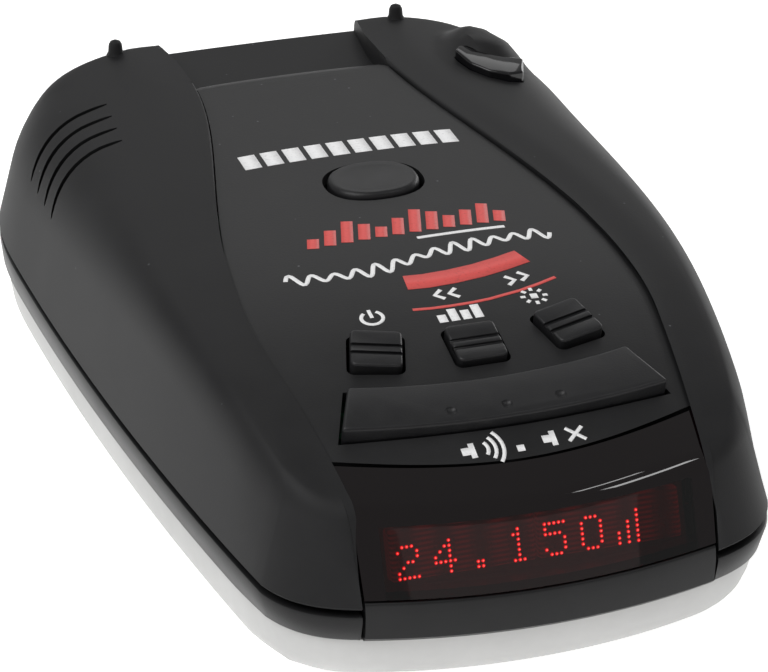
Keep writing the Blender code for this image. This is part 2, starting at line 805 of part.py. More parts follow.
def build_power_pin():
    across = Matrix.Rotation(math.pi / 2, 4, "Y")
    inner = wall_x(POWER_Y) - WALL - JACK_SETBACK
    return smooth(cylinder("power_pin", 0.85, 7.0, place(inner + 3.1, POWER_Y, JACK_Z), MAT["nickel"],
                           across, sides=16))


# ---------------------------------------------------------------- keys
def key_spots():
    side = 0.295 * HALF_WIDTH
    return {"power_key": (-side, 0.9, -KEY_TURN), "city_key": (0.0, -0.2, 0.0),
            "dim_key": (side, 0.9, KEY_TURN)}


def key_matrix(name):
    x, y, turn = key_spots()[name]
    return key_frame() @ Matrix.Translation(Vector((x, y, 0.0)) * MM) @ Matrix.Rotation(
        math.radians(turn), 4, "Z")


def key_hole_tools():
    tools = []
    for name in key_spots():
        outline = rounded_rectangle(KEY_WIDTH + 2 * GAP + 0.1, KEY_DEPTH + 2 * GAP + 0.1, 0.9, 3)
        tools.append(prism(name + "_hole_tool", outline, -7.0, 5.0, None, key_matrix(name), CUTTERS))
    tools.append(prism("bar_hole_tool", bar_outline(GAP + 0.05), -8.0, 6.0, None, key_frame(), CUTTERS))
    return tools


def key_depth_below():
    return 3.6


def build_key(name):
    """Key cap with two cross grooves, and a stem down to its switch."""
    key = prism(name, rounded_rectangle(KEY_WIDTH, KEY_DEPTH, 0.6, 3), -key_depth_below(), KEY_PROUD,
                MAT["key_black"], key_matrix(name))
    soften(key, 0.28, 2, 50)
    for offset in (0.35, -0.85):
        groove = box("groove_tool", (KEY_WIDTH + 1, 0.55, 0.7),
                     key_matrix(name) @ Vector((0, offset * MM, (KEY_PROUD + 0.05) * MM)), None,
                     key_matrix(name).to_3x3().to_4x4(), CUTTERS)
        cut(key, groove)
    return smooth(key, 35)


BAR_BOW = 0.0062


def bar_centre_y():
    return -8.9


def bar_outline(grow):
    """Plan of the long key: an even band that bends away from the display end at its tips."""
    steps = 12
    half = BAR_HALF + grow
    front = []
    back = []
    for i in range(steps + 1):
        x = -half + 2 * half * i / steps
        lean = x * 0.075
        middle = bar_centre_y() + BAR_BOW * x * x
        front.append((x + lean, middle - BAR_DEPTH / 2 - grow))
        back.append((x - lean, middle + BAR_DEPTH / 2 + grow))
    return front + back[::-1]


def build_volume_bar():
    bar = prism("volume_bar", bar_outline(0.0), -3.4, BAR_PROUD, MAT["key_black"], key_frame())
    soften(bar, 0.35, 2, 50)
    for x in (-0.36 * BAR_HALF, 0.0, 0.36 * BAR_HALF):
        y = bar_centre_y() + BAR_BOW * x * x - 0.5
        dimple = cylinder("dimple_tool", 0.75, 0.8, key_frame() @ Vector((x * MM, y * MM,
                                                                          BAR_PROUD * MM)),
                          None, key_frame().to_3x3().to_4x4(), CUTTERS, sides=16)
        cut(bar, dimple)
    pivot = key_frame() @ Vector((0.0, bar_centre_y() * MM, -3.0 * MM))
    shift_origin(bar, pivot)
    return smooth(bar, 35)


def shift_origin(obj, point):
    """Move the object's origin to a point without moving its surface."""
    bpy.context.view_layer.update()
    local = obj.matrix_world.inverted() @ point
    obj.data.transform(Matrix.Translation(-local))
    obj.matrix_world = obj.matrix_world @ Matrix.Translation(local)


BOARD_SINK = 6.0
SWITCH_HEIGHT = 1.7


def build_key_board():
    width = 2 * BAR_HALF + 0.5
    outline = [(-width / 2, -13.0), (width / 2, -13.0), (width / 2, 1.5), (0.40 * width, 6.0),
               (-0.40 * width, 6.0), (-width / 2, 1.5)]
    board = prism("key_board", outline, -BOARD_SINK - BOARD_THICKNESS, -BOARD_SINK, MAT["board_green"],
                  key_frame())
    return board


def switch_spots():
    spots = {}
    for name, (x, y, turn) in key_spots().items():
        spots[name.replace("key", "switch")] = (x, y)
    for label, side in (("volume_switch_left", -1), ("volume_switch_right", 1)):
        x = side * 0.66 * BAR_HALF
        spots[label] = (x, bar_centre_y() + BAR_BOW * x * x)
    return spots


def build_switch(name, x, y):
    """Tact switch: a square metal-topped body with a round plunger."""
    frame = key_frame() @ Matrix.Translation(Vector((x, y, -BOARD_SINK + 0.3 - 0.25)) * MM)
    body = prism(name, rounded_rectangle(4.2, 4.2, 0.3, 1), 0.0, 0.95, MAT["switch_metal"], frame)
    join(body, cylinder("plunger_tool", 1.0, 1.0, frame @ Vector((0, 0, 0.9 * MM)), None,
                        frame.to_3x3().to_4x4(), CUTTERS, sides=16))
    return smooth(body, 30)


# ---------------------------------------------------------------- release button and latch
def oval(width, depth, count=32):
    points = []
    for i in range(count):
        angle = 2 * math.pi * i / count
        c, s = math.cos(angle), math.sin(angle)
        points.append((width / 2 * math.copysign(abs(c) ** 0.86, c),
                       depth / 2 * math.copysign(abs(s) ** 0.86, s)))
    return points


def oval_tool(name, grow, low, high):
    outline = [(x, y + BUTTON_Y - BODY_LENGTH / 2) for x, y in oval(BUTTON_WIDTH + 2 * grow,
                                                                    BUTTON_DEPTH + 2 * grow)]
    return prism(name, outline, low, high, None, collection=CUTTERS)


def build_release_button():
    top = PANEL_HEIGHT + 0.5
    low = PANEL_HEIGHT - 2.6
    rings = []
    for scale, z in ((1.0, low), (1.0, top - 0.75), (0.97, top - 0.35), (0.90, top - 0.1), (0.72, top),
                     (0.4, top + 0.05)):
        rings.append([place(x * scale, y * scale + BUTTON_Y, z)
                      for x, y in oval(BUTTON_WIDTH, BUTTON_DEPTH)])
    button = loft("release_button", rings, MAT["key_black"], origin=place(0.0, BUTTON_Y, low))
    return smooth(button, 35)


CHANNEL_HALF = 0.26 * HALF_WIDTH


def channel_low():
    return PANEL_HEIGHT - 9.4


def build_mount_channel():
    """Guide under the panel that takes the bracket tongue from the recess at the antenna end."""
    front = BUTTON_Y - BUTTON_DEPTH / 2 - 3.4
    rear = PANEL_REAR_Y - 6.4
    middle = (front + rear) / 2
    length = rear - front
    top = panel_z(rear) - PANEL_THICKNESS - GAP - 0.15
    outer = box("mount_channel", (2 * CHANNEL_HALF, length, top - channel_low()),
                place(0.0, middle, (top + channel_low()) / 2), MAT["bezel_black"])
    groove = box("tongue_tool", (2 * CHANNEL_HALF - 4.0, length + 4,
                                 4.0), place(0.0, middle, RECESS_FLOOR + 2.0 - 0.1), None,
                 collection=CUTTERS)
    well = oval_tool("latch_well_tool", 0.45, channel_low() + 1.0, PANEL_HEIGHT + 3)
    gate = box("hook_well_tool", (HOOK_WIDTH + 2 * GAP, HOOK_REACH + GAP, 9.0),
               place(0.0, BUTTON_Y + (HOOK_REACH + GAP) / 2, channel_low() + 1.0 + 4.5), None,
               collection=CUTTERS)
    cut(outer, groove, well, gate)
    return smooth(outer, 30)


HOOK_WIDTH = 5.0
HOOK_REACH = 0.5 * BUTTON_DEPTH + 3.0
LATCH_THICKNESS = 1.4


def latch_high():
    return PANEL_HEIGHT - 2.6 - GAP


def build_mount_latch():
    """Latch plate under the button, with the hook that catches the bracket tongue."""
    low = latch_high() - LATCH_THICKNESS
    outline = oval(BUTTON_WIDTH - 0.8, BUTTON_DEPTH - 0.8, 24)
    latch = prism("mount_latch", outline, low, latch_high(), MAT["latch_white"],
                  Matrix.Translation(place(0.0, BUTTON_Y, 0.0)))
    join(latch, box("arm_tool", (HOOK_WIDTH, HOOK_REACH, LATCH_THICKNESS - 0.2),
                    place(0.0, BUTTON_Y + HOOK_REACH / 2, (low + latch_high()) / 2), None,
                    collection=CUTTERS))
    join(latch, box("hook_tool", (HOOK_WIDTH - 0.2, 1.6, 2.2),
                    place(0.0, BUTTON_Y + HOOK_REACH - 0.9, latch_high() - 1.0), None,
                    collection=CUTTERS))
    seat = cylinder("spring_seat_tool", 2.1, 1.2, place(0.0, BUTTON_Y, low), None, collection=CUTTERS)
    cut(latch, seat)
    return smooth(latch, 30)


def build_latch_spring():
    """Closed-end compression spring between the channel floor and the latch plate."""
    low = channel_low() + 1.0 + GAP
    high = latch_high() - LATCH_THICKNESS + 0.6 - GAP
    wire = 0.16
    turns = 3.0
    radius = 1.5
    steps = 27
    sections = []
    for i in range(steps + 1):
        t = i / steps
        angle = 2 * math.pi * turns * t
        z = low + wire + (high - low - 2 * wire) * t
        out = Vector((math.cos(angle), math.sin(angle), 0.0))
        centre = place(radius * out.x, BUTTON_Y + radius * out.y, z)
        ring = []
        for k in range(5):
            around = 2 * math.pi * k / 5
            ring.append(centre + out * math.cos(around) * wire * MM
                        + Vector((0, 0, math.sin(around) * wire * MM)))
        sections.append(ring)
    return smooth(loft("latch_spring", sections, MAT["nickel"], origin=place(0.0, BUTTON_Y, low)), 60)


# ---------------------------------------------------------------- electronics
def build_main_board():
    z = BOARD_Z
    ring = full_ring(inset_half(WALL + 2.6, WALL + 5.0))
    sections = [[place(x, y, level) for x, y in ring] for level in (z, z + BOARD_THICKNESS)]
    board = loft("main_board", sections, MAT["board_green"])
    for x, y in SCREW_SPOTS:
        cut(board, cylinder("board_hole_tool", 1.6, 6.0, place(x, y, z), None, collection=CUTTERS,
                            sides=18))
    return board


DISPLAY_TILT = math.atan(FRONT_DRAFT / (PANEL_HEIGHT - 19.6))


def display_frame():
    """Frame of the display board: +Z leans back with the lens, +Y points into the case."""
    y = 0.0245 * BODY_LENGTH + 3.9
    return Matrix.Translation(place(0.0, y, SPLIT_HEIGHT + 3.7)) @ Matrix.Rotation(
        -DISPLAY_TILT, 4, "X")


def build_display_module(name, side):
    width = CELL_COUNT * CELL_PITCH - GAP
    centre = display_frame() @ Vector((side * CELL_COUNT * CELL_PITCH / 2 * MM, 0.0, 0.0))
    module = box(name, (width, 2.0, 5.2), centre, MAT["module_dark"],
                 display_frame().to_3x3().to_4x4())
    return soften(module, 0.2, 1)


def build_display_board():
    centre = display_frame() @ Vector((0.0, (1.0 + GAP + BOARD_THICKNESS / 2) * MM, -0.2 * MM))
    return box("display_board", (2 * CELL_COUNT * CELL_PITCH + 2.4, BOARD_THICKNESS, 7.0), centre,
               MAT["board_green"], display_frame().to_3x3().to_4x4())


HORN_X = 0.0563 * BODY_WIDTH / 2
HORN_WIDTH = 0.7324 * BODY_WIDTH / 2
HORN_TOP = 22.0


def board_top():
    return BOARD_Z + BOARD_THICKNESS


def build_horn():
    """Cast horn of the microwave receiver: a flared mouth that looks out of the antenna end."""
    low = board_top() + GAP
    rear = BODY_LENGTH - WALL - 4.2
    length = 0.30 * BODY_LENGTH
    top = min(HORN_TOP, channel_low() - GAP)
    sections = []
    for along, share in ((0.0, 0.42), (0.25, 0.42), (1.0, 1.0)):
        y = rear - length * (1 - along)
        half = HORN_WIDTH / 2 * share
        high = low + (top - low) * (0.55 + 0.45 * max(0.0, (share - 0.42) / 0.58))
        sections.append([place(HORN_X - half, y, low), place(HORN_X + half, y, low),
                         place(HORN_X + half, y, high), place(HORN_X - half, y, high)])
    horn = loft("horn_antenna", sections, MAT["zinc"])
    mouth = []
    for along, share in ((0.12, 0.30), (0.30, 0.34), (1.06, 0.96)):
        y = rear - length * (1 - along)
        half = HORN_WIDTH / 2 * share
        height = (top - low) * (0.30 + 0.58 * max(0.0, (share - 0.34) / 0.62))
        base = low + 1.2
        mouth.append([place(HORN_X - half, y, base), place(HORN_X + half, y, base),
                      place(HORN_X + half, y, base + height), place(HORN_X - half, y, base + height)])
    cut(horn, loft("mouth_tool", mouth, None, collection=CUTTERS))
    return horn


def build_shield():
    """Folded tin can over the microwave mixer, in front of the horn."""
    width = HORN_WIDTH
    depth = 0.17 * BODY_LENGTH
    low = board_top() + GAP
    y = BODY_LENGTH - WALL - 4.2 - 0.30 * BODY_LENGTH - GAP - depth / 2 - 0.6
    can = box("shield_can", (width, depth, 6.0), place(HORN_X, y, low + 3.0), MAT["tin"])
    soften(can, 0.5, 2)
    cut(can, box("can_tool", (width - 1.2, depth - 1.2, 6.0), place(HORN_X, y, low + 2.4), None,
                 collection=CUTTERS))
    return smooth(can, 30)


SPEAKER_X = -0.575 * HALF_WIDTH
SPEAKER_Y = 0.745 * BODY_LENGTH


def speaker_top():
    x = SPEAKER_X - SPEAKER_RADIUS
    return min(shoulder_z(x, SPEAKER_Y) - WALL - 3.0, channel_low() - 0.2)


def revolve(name, profile, centre, mat, sides=24):
    """Turned piece: profile is a closed list of radius and height, none of it on the axis."""
    sections = []
    for i in range(sides):
        angle = 2 * math.pi * i / sides
        c, s = math.cos(angle), math.sin(angle)
        sections.append([centre + Vector((r * c, r * s, z)) * MM for r, z in profile])
    return smooth(loft(name, sections, mat, closed=True, origin=centre), 35)


def speaker_well():
    """Ring inside the cover that the rim of the speaker sits in."""
    low = speaker_top() - 1.4
    sections = []
    for i in range(24):
        angle = 2 * math.pi * i / 24
        c, s = math.cos(angle), math.sin(angle)
        section = []
        for radius in (SPEAKER_RADIUS + GAP, SPEAKER_RADIUS + GAP + 1.1):
            x = SPEAKER_X + radius * c
            y = SPEAKER_Y + radius * s
            high = shoulder_z(x, y) - 1.2
            if abs(x) < seam_x(y) + 1.0:
                high = skin_z(x, y) - PANEL_THICKNESS - GAP - 0.2
            section.append((place(x, y, low), place(x, y, high)))
        sections.append([section[0][0], section[0][1], section[1][1], section[1][0]])
    return loft("speaker_well_tool", sections, None, closed=True, collection=CUTTERS)


def build_speaker():
    top = speaker_top()
    centre = place(SPEAKER_X, SPEAKER_Y, top)
    r = SPEAKER_RADIUS
    revolve("speaker_frame", [(r, 0.0), (r, -0.9), (r * 0.62, -3.2), (r * 0.5, -3.2), (r * 0.5, -2.6),
                              (r * 0.6, -2.6), (r * 0.86, -0.9), (r * 0.86, 0.0)], centre, MAT["tin"])
    cone = [(r * 0.85 - GAP, -0.15), (r * 0.85 - GAP, -0.4), (r * 0.7, -0.5), (r * 0.28, -1.9),
            (r * 0.06, -1.5), (r * 0.06, -1.3), (r * 0.28, -1.6), (r * 0.7, -0.25)]
    revolve("speaker_cone", cone, centre, MAT["paper_black"])
    magnet = cylinder("speaker_magnet", r * 0.6, 3.0, centre + Vector((0, 0, -(3.2 + GAP + 1.5))) * MM,
                      MAT["ferrite"], sides=28)
    smooth(soften(magnet, 0.3, 1, 60), 35)


def build_sensor_window():
    base = shoulder_z(HOOD_X, HOOD_Y - 3)
    low = base - 1.0 + GAP
    high = base + 1.65
    lens = prism("sensor_window", sensor_outline(-0.1), low, high, MAT["window_black"])
    return smooth(soften(lens, 0.15, 1, 50), 30)


def build_laser_receiver():
    """Front laser receiver on the main board, beside the horn."""
    x = HORN_X + HORN_WIDTH / 2 + 3.2
    y = 0.915 * BODY_LENGTH
    low = board_top() + GAP
    body = box("laser_receiver", (5.4, 5.2, 7.6), place(x, y, low + 3.8), MAT["module_dark"])
    soften(body, 0.4, 1)
    lens_spot = place(x, y + 2.6, low + 4.2)
    join(body, cylinder("receiver_tool", 2.5, 2.4, lens_spot, None, Matrix.Rotation(-math.pi / 2, 4, "X"),
                        CUTTERS, top=1.6, sides=24))
    return smooth(body, 30)


def build_board_parts():
    low = board_top() + GAP
    chip = box("processor_chip", (10.0, 10.0, 1.4), place(-9.0, 0.35 * BODY_LENGTH, low + 0.7),
               MAT["module_dark"])
    soften(chip, 0.2, 1)
    header = box("display_header", (16.0, 2.6, 3.2), place(0.0, 0.0245 * BODY_LENGTH + 8.6, low + 1.6),
                 MAT["connector_white"])
    soften(header, 0.25, 1)
    cap = cylinder("filter_capacitor", 3.1, 7.6, place(13.0, 0.36 * BODY_LENGTH, low + 3.8),
                   MAT["capacitor"], sides=28)
    smooth(soften(cap, 0.5, 2, 60), 35)


def build_case_screws():
    for number, (x, y) in enumerate(SCREW_SPOTS, 1):
        head_z = 1.0
        screw = cylinder("case_screw_%d" % number, 1.95, 1.4, place(x, y, head_z + 0.7), MAT["screw_steel"],
                         sides=24)
        length = SPLIT_HEIGHT - SHADOW_GAP + 2.4 - head_z - 1.4
        join(screw, cylinder("shank_tool", 0.75, length, place(x, y, head_z + 1.2 + length / 2), None,
                             collection=CUTTERS, sides=16))
        for turn in (0.0, math.pi / 2):
            cut(screw, box("drive_tool", (2.3, 0.5, 1.2), place(x, y, head_z), None,
                           Matrix.Rotation(turn, 4, "Z"), CUTTERS))
        smooth(screw, 30)


# ---------------------------------------------------------------- assembly
def build_materials():
    return {
        "soft_black": material("soft_black", (0.035, 0.035, 0.036), 0.62),
        "panel_black": material("panel_black", (0.030, 0.030, 0.032), 0.58),
        "strip_black": material("strip_black", (0.016, 0.016, 0.017), 0.45),
        "bezel_black": material("bezel_black", (0.018, 0.018, 0.019), 0.5),
        "key_black": material("key_black", (0.014, 0.014, 0.015), 0.5),
        "case_grey": material("case_grey", (0.62, 0.62, 0.62), 0.45),
        "lens_red": material("lens_red", (0.045, 0.006, 0.008), 0.06, alpha=0.45),
        "window_black": material("window_black", (0.010, 0.008, 0.010), 0.05),
        "label_silver": material("label_silver", (0.55, 0.56, 0.57), 0.35),
        "board_green": material("board_green", (0.02, 0.12, 0.05), 0.4),
        "module_dark": material("module_dark", (0.020, 0.012, 0.013), 0.35),
        "switch_metal": material("switch_metal", (0.55, 0.55, 0.56), 0.35, 1.0),
        "latch_white": material("latch_white", (0.60, 0.60, 0.58), 0.4),
        "nickel": material("nickel", (0.60, 0.58, 0.55), 0.28, 1.0),
        "zinc": material("zinc", (0.45, 0.46, 0.48), 0.45, 1.0),
        "tin": material("tin", (0.62, 0.62, 0.60), 0.3, 1.0),
        "paper_black": material("paper_black", (0.03, 0.03, 0.03), 0.85),
        "ferrite": material("ferrite", (0.06, 0.06, 0.065), 0.6),
        "connector_white": material("connector_white", (0.75, 0.73, 0.68), 0.5),
        "capacitor": material("capacitor", (0.03, 0.05, 0.13), 0.35),
        "screw_steel": material("screw_steel", (0.35, 0.35, 0.36), 0.35, 1.0),
        "jack_black": material("jack_black", (0.022, 0.022, 0.024), 0.42),
    }


def build_all():
    build_top_cover()
    build_control_panel()
    build_front_lens()
    build_front_bezel()
    build_mid_frame()
    build_lower_case()
    build_rating_label()
    for name in key_spots():
        build_key(name)
    build_volume_bar()
    build_key_board()
    for name, (x, y) in switch_spots().items():
        build_switch(name, x, y)
    build_release_button()
    build_mount_channel()
    build_mount_latch()
    build_latch_spring()
    build_main_board()
    build_display_module("display_module_left", -1)
    build_display_module("display_module_right", 1)
    build_display_board()
    build_horn()
    build_shield()
    build_speaker()
    build_sensor_window()
    build_laser_receiver()
    build_board_parts()
    build_jack("power_jack", POWER_Y, POWER_BORE, 9.0, 11.0, MAT["jack_black"])
    build_power_pin()
    build_jack("earphone_jack", EARPHONE_Y, EARPHONE_BORE, 6.4, 11.5, MAT["jack_black"])
    build_case_screws()


clear_scene()
PARTS = make_collection("radar_detector")
CUTTERS = make_collection("cutters")
MAT = build_materials()
build_all()
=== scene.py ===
"""Windshield radar detector: finished pieces, finishes, stage, lights and camera."""
import math

import bmesh
import bpy
from mathutils import Matrix, Vector


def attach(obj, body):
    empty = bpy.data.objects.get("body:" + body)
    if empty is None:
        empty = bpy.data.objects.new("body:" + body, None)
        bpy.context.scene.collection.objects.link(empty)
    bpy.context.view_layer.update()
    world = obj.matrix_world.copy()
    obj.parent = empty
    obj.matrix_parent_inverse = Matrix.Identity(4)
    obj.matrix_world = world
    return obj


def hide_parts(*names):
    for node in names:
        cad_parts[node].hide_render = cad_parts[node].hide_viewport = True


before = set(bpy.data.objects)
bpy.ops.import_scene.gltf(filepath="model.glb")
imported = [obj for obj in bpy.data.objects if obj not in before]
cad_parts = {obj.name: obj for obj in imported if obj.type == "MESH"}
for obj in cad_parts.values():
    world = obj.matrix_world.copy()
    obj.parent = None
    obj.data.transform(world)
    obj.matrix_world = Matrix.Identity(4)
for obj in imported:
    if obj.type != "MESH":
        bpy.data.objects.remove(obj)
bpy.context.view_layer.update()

MM = 0.001

# ------------------------------------------------------------------ camera, above and to the left of the display end
CAMERA_PLACE = Vector((-0.11809, -0.37534, 0.22347))
CAMERA_FORWARD = Vector((0.26393, 0.84080, -0.47264))
CAMERA_LENS = 187.5


def add_camera():
    camera = bpy.data.objects.new("camera", bpy.data.cameras.new("camera"))
    bpy.context.scene.collection.objects.link(camera)
    camera.location = CAMERA_PLACE
    camera.rotation_mode = "QUATERNION"
    camera.rotation_quaternion = CAMERA_FORWARD.to_track_quat("-Z", "Y")
    camera.data.lens = CAMERA_LENS
    camera.data.sensor_width = 36.0
    camera.data.clip_start = 0.01
    camera.data.clip_end = 20.0
    bpy.context.scene.camera = camera


add_camera()

# ------------------------------------------------------------------ sizes of the case, in millimetres
LENGTH = 110.9
HALF = 35.5
PEAK = 29.5
SPLIT = 11.3
WALL = 2.0
FLOOR = 1.5
LENS_WALL = 1.8
GAP = 0.3
SEAM_GAP = 0.14
SHADOW = 0.7
STEP = 0.8
PANEL_THICK = 1.3
SEAT = 1.5
STRIP = 3.3
FRONT_LEAN = 3.7
SIDE_LEAN = 2.2
REAR_SIDE_LEAN = 3.4
REAR_LEAN = 2.6
RIDGE = 1.7
SHOULDER_ROUND = 4.8
REAR_ROUND = 1.7
FOOT_ROUND = 0.35
CROWN = 4.0
FRONT_FALL = 11.7
SHOULDER_FALL = 2.2

# Places along and across the case, as shares of its length and half width
SEAM_SHARE = 0.535
BOW_SHARE = 0.0245
SEAM_FRONT = SEAM_SHARE * HALF
FRONT_BOW = BOW_SHARE * LENGTH
SEAM_WIDE = 0.614 * HALF
SEAM_REAR = 0.330 * HALF
SEAM_WIDE_Y = 0.291 * LENGTH
PANEL_END = 0.842 * LENGTH
PEAK_Y = 0.541 * LENGTH
LENS_END = 0.0785 * LENGTH
LENS_END_BOW = 3.9
RECESS = PEAK - 3.9
BUTTON_Y = 0.543 * LENGTH
MOUND_X = 0.650 * HALF
MOUND_Y = 0.826 * LENGTH
MOUND_HEIGHT = 2.5

# Keys, volume bar and release button
KEY_WIDTH = 5.4
KEY_DEPTH = 5.6
KEY_GAP = 0.35
KEY_PROUD = 0.8
KEY_Y = 0.224 * LENGTH
KEY_SIDE = 0.295 * HALF
BAR_HALF = 16.3
BAR_DEPTH = 6.2
BAR_MIDDLE = -8.9
BAR_BOW = 0.0062
BAR_PROUD = 0.6
BUTTON_WIDTH = 10.2
BUTTON_DEPTH = 8.4
BUTTON_GAP = 0.55
BUTTON_PROUD = 0.5

# Tray: side sockets (share of the length, bore radius), screws (shares of the half width and length)
SOCKETS = ((0.47, 2.2), (0.60, 1.8))
SOCKET_RIM = 0.65
SCREWS = ((0.565, 0.160), (0.730, 0.855))
LABEL_WIDTH = 0.55 * 2 * HALF
LABEL_DEPTH = 0.30 * LENGTH

# Display cells and the window in front of them
CELL_PITCH = 3.86
DOT_ACROSS = 0.50
DOT_UP = 0.53
WINDOW_HALF = 16.6
WINDOW_TOP = 19.2

# Half outline of the case seen from above: curves from the front to the rear, in shares
OUTLINE = (
    ((0.0, 0.0), (0.19, 0.0), (0.36, 0.008), (SEAM_SHARE, BOW_SHARE)),
    ((SEAM_SHARE, BOW_SHARE), (0.658, 0.0361), (0.738, 0.0568), (0.777, 0.0947)),
    ((0.777, 0.0947), (0.894, 0.309), (0.975, 0.544), (0.998, 0.785)),
    ((0.998, 0.785), (1.010, 0.945), (0.880, 0.992), (0.470, 0.9970)),
    ((0.470, 0.9970), (0.309, 0.9992), (0.153, 1.0), (0.0, 1.0)),
)
STEPS = (12, 20, 34, 34, 10)


# ------------------------------------------------------------------ shape rules of the case
def at(x, y, z):
    """Millimetres, y counted from the foremost point, as a point of the row frame."""
    return Vector((x, y - LENGTH / 2, z)) * MM


def ease(value):
    value = max(0.0, min(1.0, value))
    return value * value * (3 - 2 * value)


def half_outline():
    points = []
    for curve, steps in zip(OUTLINE, STEPS):
        for i in range(steps):
            t = i / steps
            weights = ((1 - t) ** 3, 3 * t * (1 - t) ** 2, 3 * t * t * (1 - t), t ** 3)
            x = sum(w * p[0] for w, p in zip(weights, curve))
            y = sum(w * p[1] for w, p in zip(weights, curve))
            points.append((x * HALF, y * LENGTH))
    return points + [(0.0, LENGTH)]


def outward(points):
    """The outline's normal at each of its points."""
    normals = []
    for i in range(len(points)):
        before = points[i - 1] if i else (-points[1][0], points[1][1])
        after = points[i + 1] if i + 1 < len(points) else (-points[-2][0], points[-2][1])
        along = Vector((after[0] - before[0], after[1] - before[1])).normalized()
        normals.append((along.y, -along.x))
    return normals


def front_share(y):
    """1 at the display end, 0 from a sixth of the length on."""
    return 1.0 - ease((y - 0.045 * LENGTH) / (0.12 * LENGTH))


def rear_share(y):
    """0 in the front third, 1 in the rear fifth."""
    return ease((y / LENGTH - 0.30) / 0.48)


def inset(side, front, rear_side=None, rear=None):
    """The half outline moved inwards, by different amounts at the sides, front and rear."""
    points = half_outline()
    moved = []
    for (x, y), (nx, ny) in zip(points, outward(points)):
        depth = side
        if rear is not None:
            depth += (rear_side - side) * rear_share(y)
            depth += (rear - depth) * max(0.0, ny) ** 3
        depth += (front - depth) * front_share(y)
        moved.append((x - nx * depth, y - ny * depth))
    return moved


def ring(half):
    """The closed outline from its right half."""
    return half + [(-x, y) for x, y in reversed(half[1:-1])]


def panel_z(y):
    if y < PEAK_Y:
        return PEAK - FRONT_FALL * ((PEAK_Y - y) / PEAK_Y) ** 3
    return PEAK - ((y - PEAK_Y) / (PANEL_END - PEAK_Y)) ** 2


def crown(x):
    return CROWN * (abs(x) / HALF) ** 2.4


def skin_z(x, y):
    return panel_z(y) - crown(x)


def seam_x(y):
    """Half width of the panel between its seams."""
    if y <= SEAM_WIDE_Y:
        return SEAM_FRONT + (SEAM_WIDE - SEAM_FRONT) * (y - FRONT_BOW) / (SEAM_WIDE_Y - FRONT_BOW)
    t = (y - SEAM_WIDE_Y) / (PANEL_END - SEAM_WIDE_Y)
    return SEAM_WIDE + (SEAM_REAR - SEAM_WIDE) * (0.25 * t + 0.75 * ease(t) ** 1.25)


def shoulder_z(x, y):
    """Top of the cover, which steps up from the panel at the seam and falls away to the rear sides."""
    aside = max(0.0, abs(x) - seam_x(min(y, PANEL_END))) / (HALF - SEAM_REAR)
    step = STEP * (0.45 + 0.55 * ease(aside * 5))
    return skin_z(x, y) + step - SHOULDER_FALL * rear_share(y) * aside ** 2


def turn(low, edge, high, steps):
    """Points that round the corner at edge."""
    return [(1 - t) ** 2 * low + 2 * t * (1 - t) * edge + t * t * high
            for t in (i / steps for i in range(steps + 1))]


# ------------------------------------------------------------------ mesh making
def piece(name, bm):
    mesh = bpy.data.meshes.new(name)
    bmesh.ops.recalc_face_normals(bm, faces=bm.faces)
    bm.to_mesh(mesh)
    bm.free()
    obj = bpy.data.objects.new(name, mesh)
    bpy.context.scene.collection.objects.link(obj)
    return obj


def skin(name, rows, closed=False):
    """Quads between rows of points; every row is a closed section."""
    bm = bmesh.new()
    lines = [[bm.verts.new(p) for p in row] for row in rows]
    pairs = list(zip(lines, lines[1:])) + ([(lines[-1], lines[0])] if closed else [])
    for low, high in pairs:
        for i in range(len(low)):
            j = (i + 1) % len(low)
            bm.faces.new((low[i], low[j], high[j], high[i]))
    if not closed:
        bm.faces.new(lines[0])
        bm.faces.new(lines[-1])
    return piece(name, bm)


def settle(obj):
    """Applies the object's modifiers and its place to the mesh, and leaves it at the origin."""
    bpy.context.view_layer.update()
    depsgraph = bpy.context.evaluated_depsgraph_get()
    mesh = bpy.data.meshes.new_from_object(obj.evaluated_get(depsgraph))
    mesh.transform(obj.matrix_world)
    obj.modifiers.clear()
    obj.data = mesh
    obj.matrix_world = Matrix.Identity(4)
    return obj


def carve(obj, tools, operation="DIFFERENCE"):
    for tool in tools:
        mod = obj.modifiers.new("carve", "BOOLEAN")
        mod.operation = operation
        mod.solver = "EXACT"
        mod.object = tool
        settle(obj)
        bpy.data.objects.remove(tool)
    return obj


def round_edges(obj, width, segments=3, angle=40.0):
    mod = obj.modifiers.new("round", "BEVEL")
    mod.width = width * MM
    mod.segments = segments
    mod.limit_method = "ANGLE"
    mod.angle_limit = math.radians(angle)
    return settle(obj)


def shade(obj, angle=35.0):
    obj.data.polygons.foreach_set("use_smooth", [True] * len(obj.data.polygons))
    obj.data.set_sharp_from_angle(angle=math.radians(angle))
    return obj


def prism(name, outline, low, high, place=None):
    """The outline drawn up from low to high; it stands at the foremost point if no place is given."""
    rows = [[Vector((x, y, z)) * MM for x, y in outline] for z in (low, high)]
    obj = skin(name, rows)
    obj.matrix_world = place or Matrix.Translation(at(0, 0, 0))
    return settle(obj)


def rounded(width, depth, radius, steps=8):
    points = []
    for quarter, (sx, sy) in enumerate(((1, 1), (-1, 1), (-1, -1), (1, -1))):
        for i in range(steps + 1):
            a = math.pi / 2 * (quarter + i / steps)
            points.append((sx * (width / 2 - radius) + radius * math.cos(a),
                           sy * (depth / 2 - radius) + radius * math.sin(a)))
    return points


def circle(radius, count):
    angles = (2 * math.pi * k / count for k in range(count))
    return [(radius * math.cos(a), radius * math.sin(a)) for a in angles]


def key_plane():
    """Middle of the key row, on the slope of the panel."""
    slope = math.atan((panel_z(KEY_Y - 0.5) - panel_z(KEY_Y - 2.5)) / 2.0)
    return Matrix.Translation(at(0, KEY_Y, panel_z(KEY_Y))) @ Matrix.Rotation(slope, 4, "X")


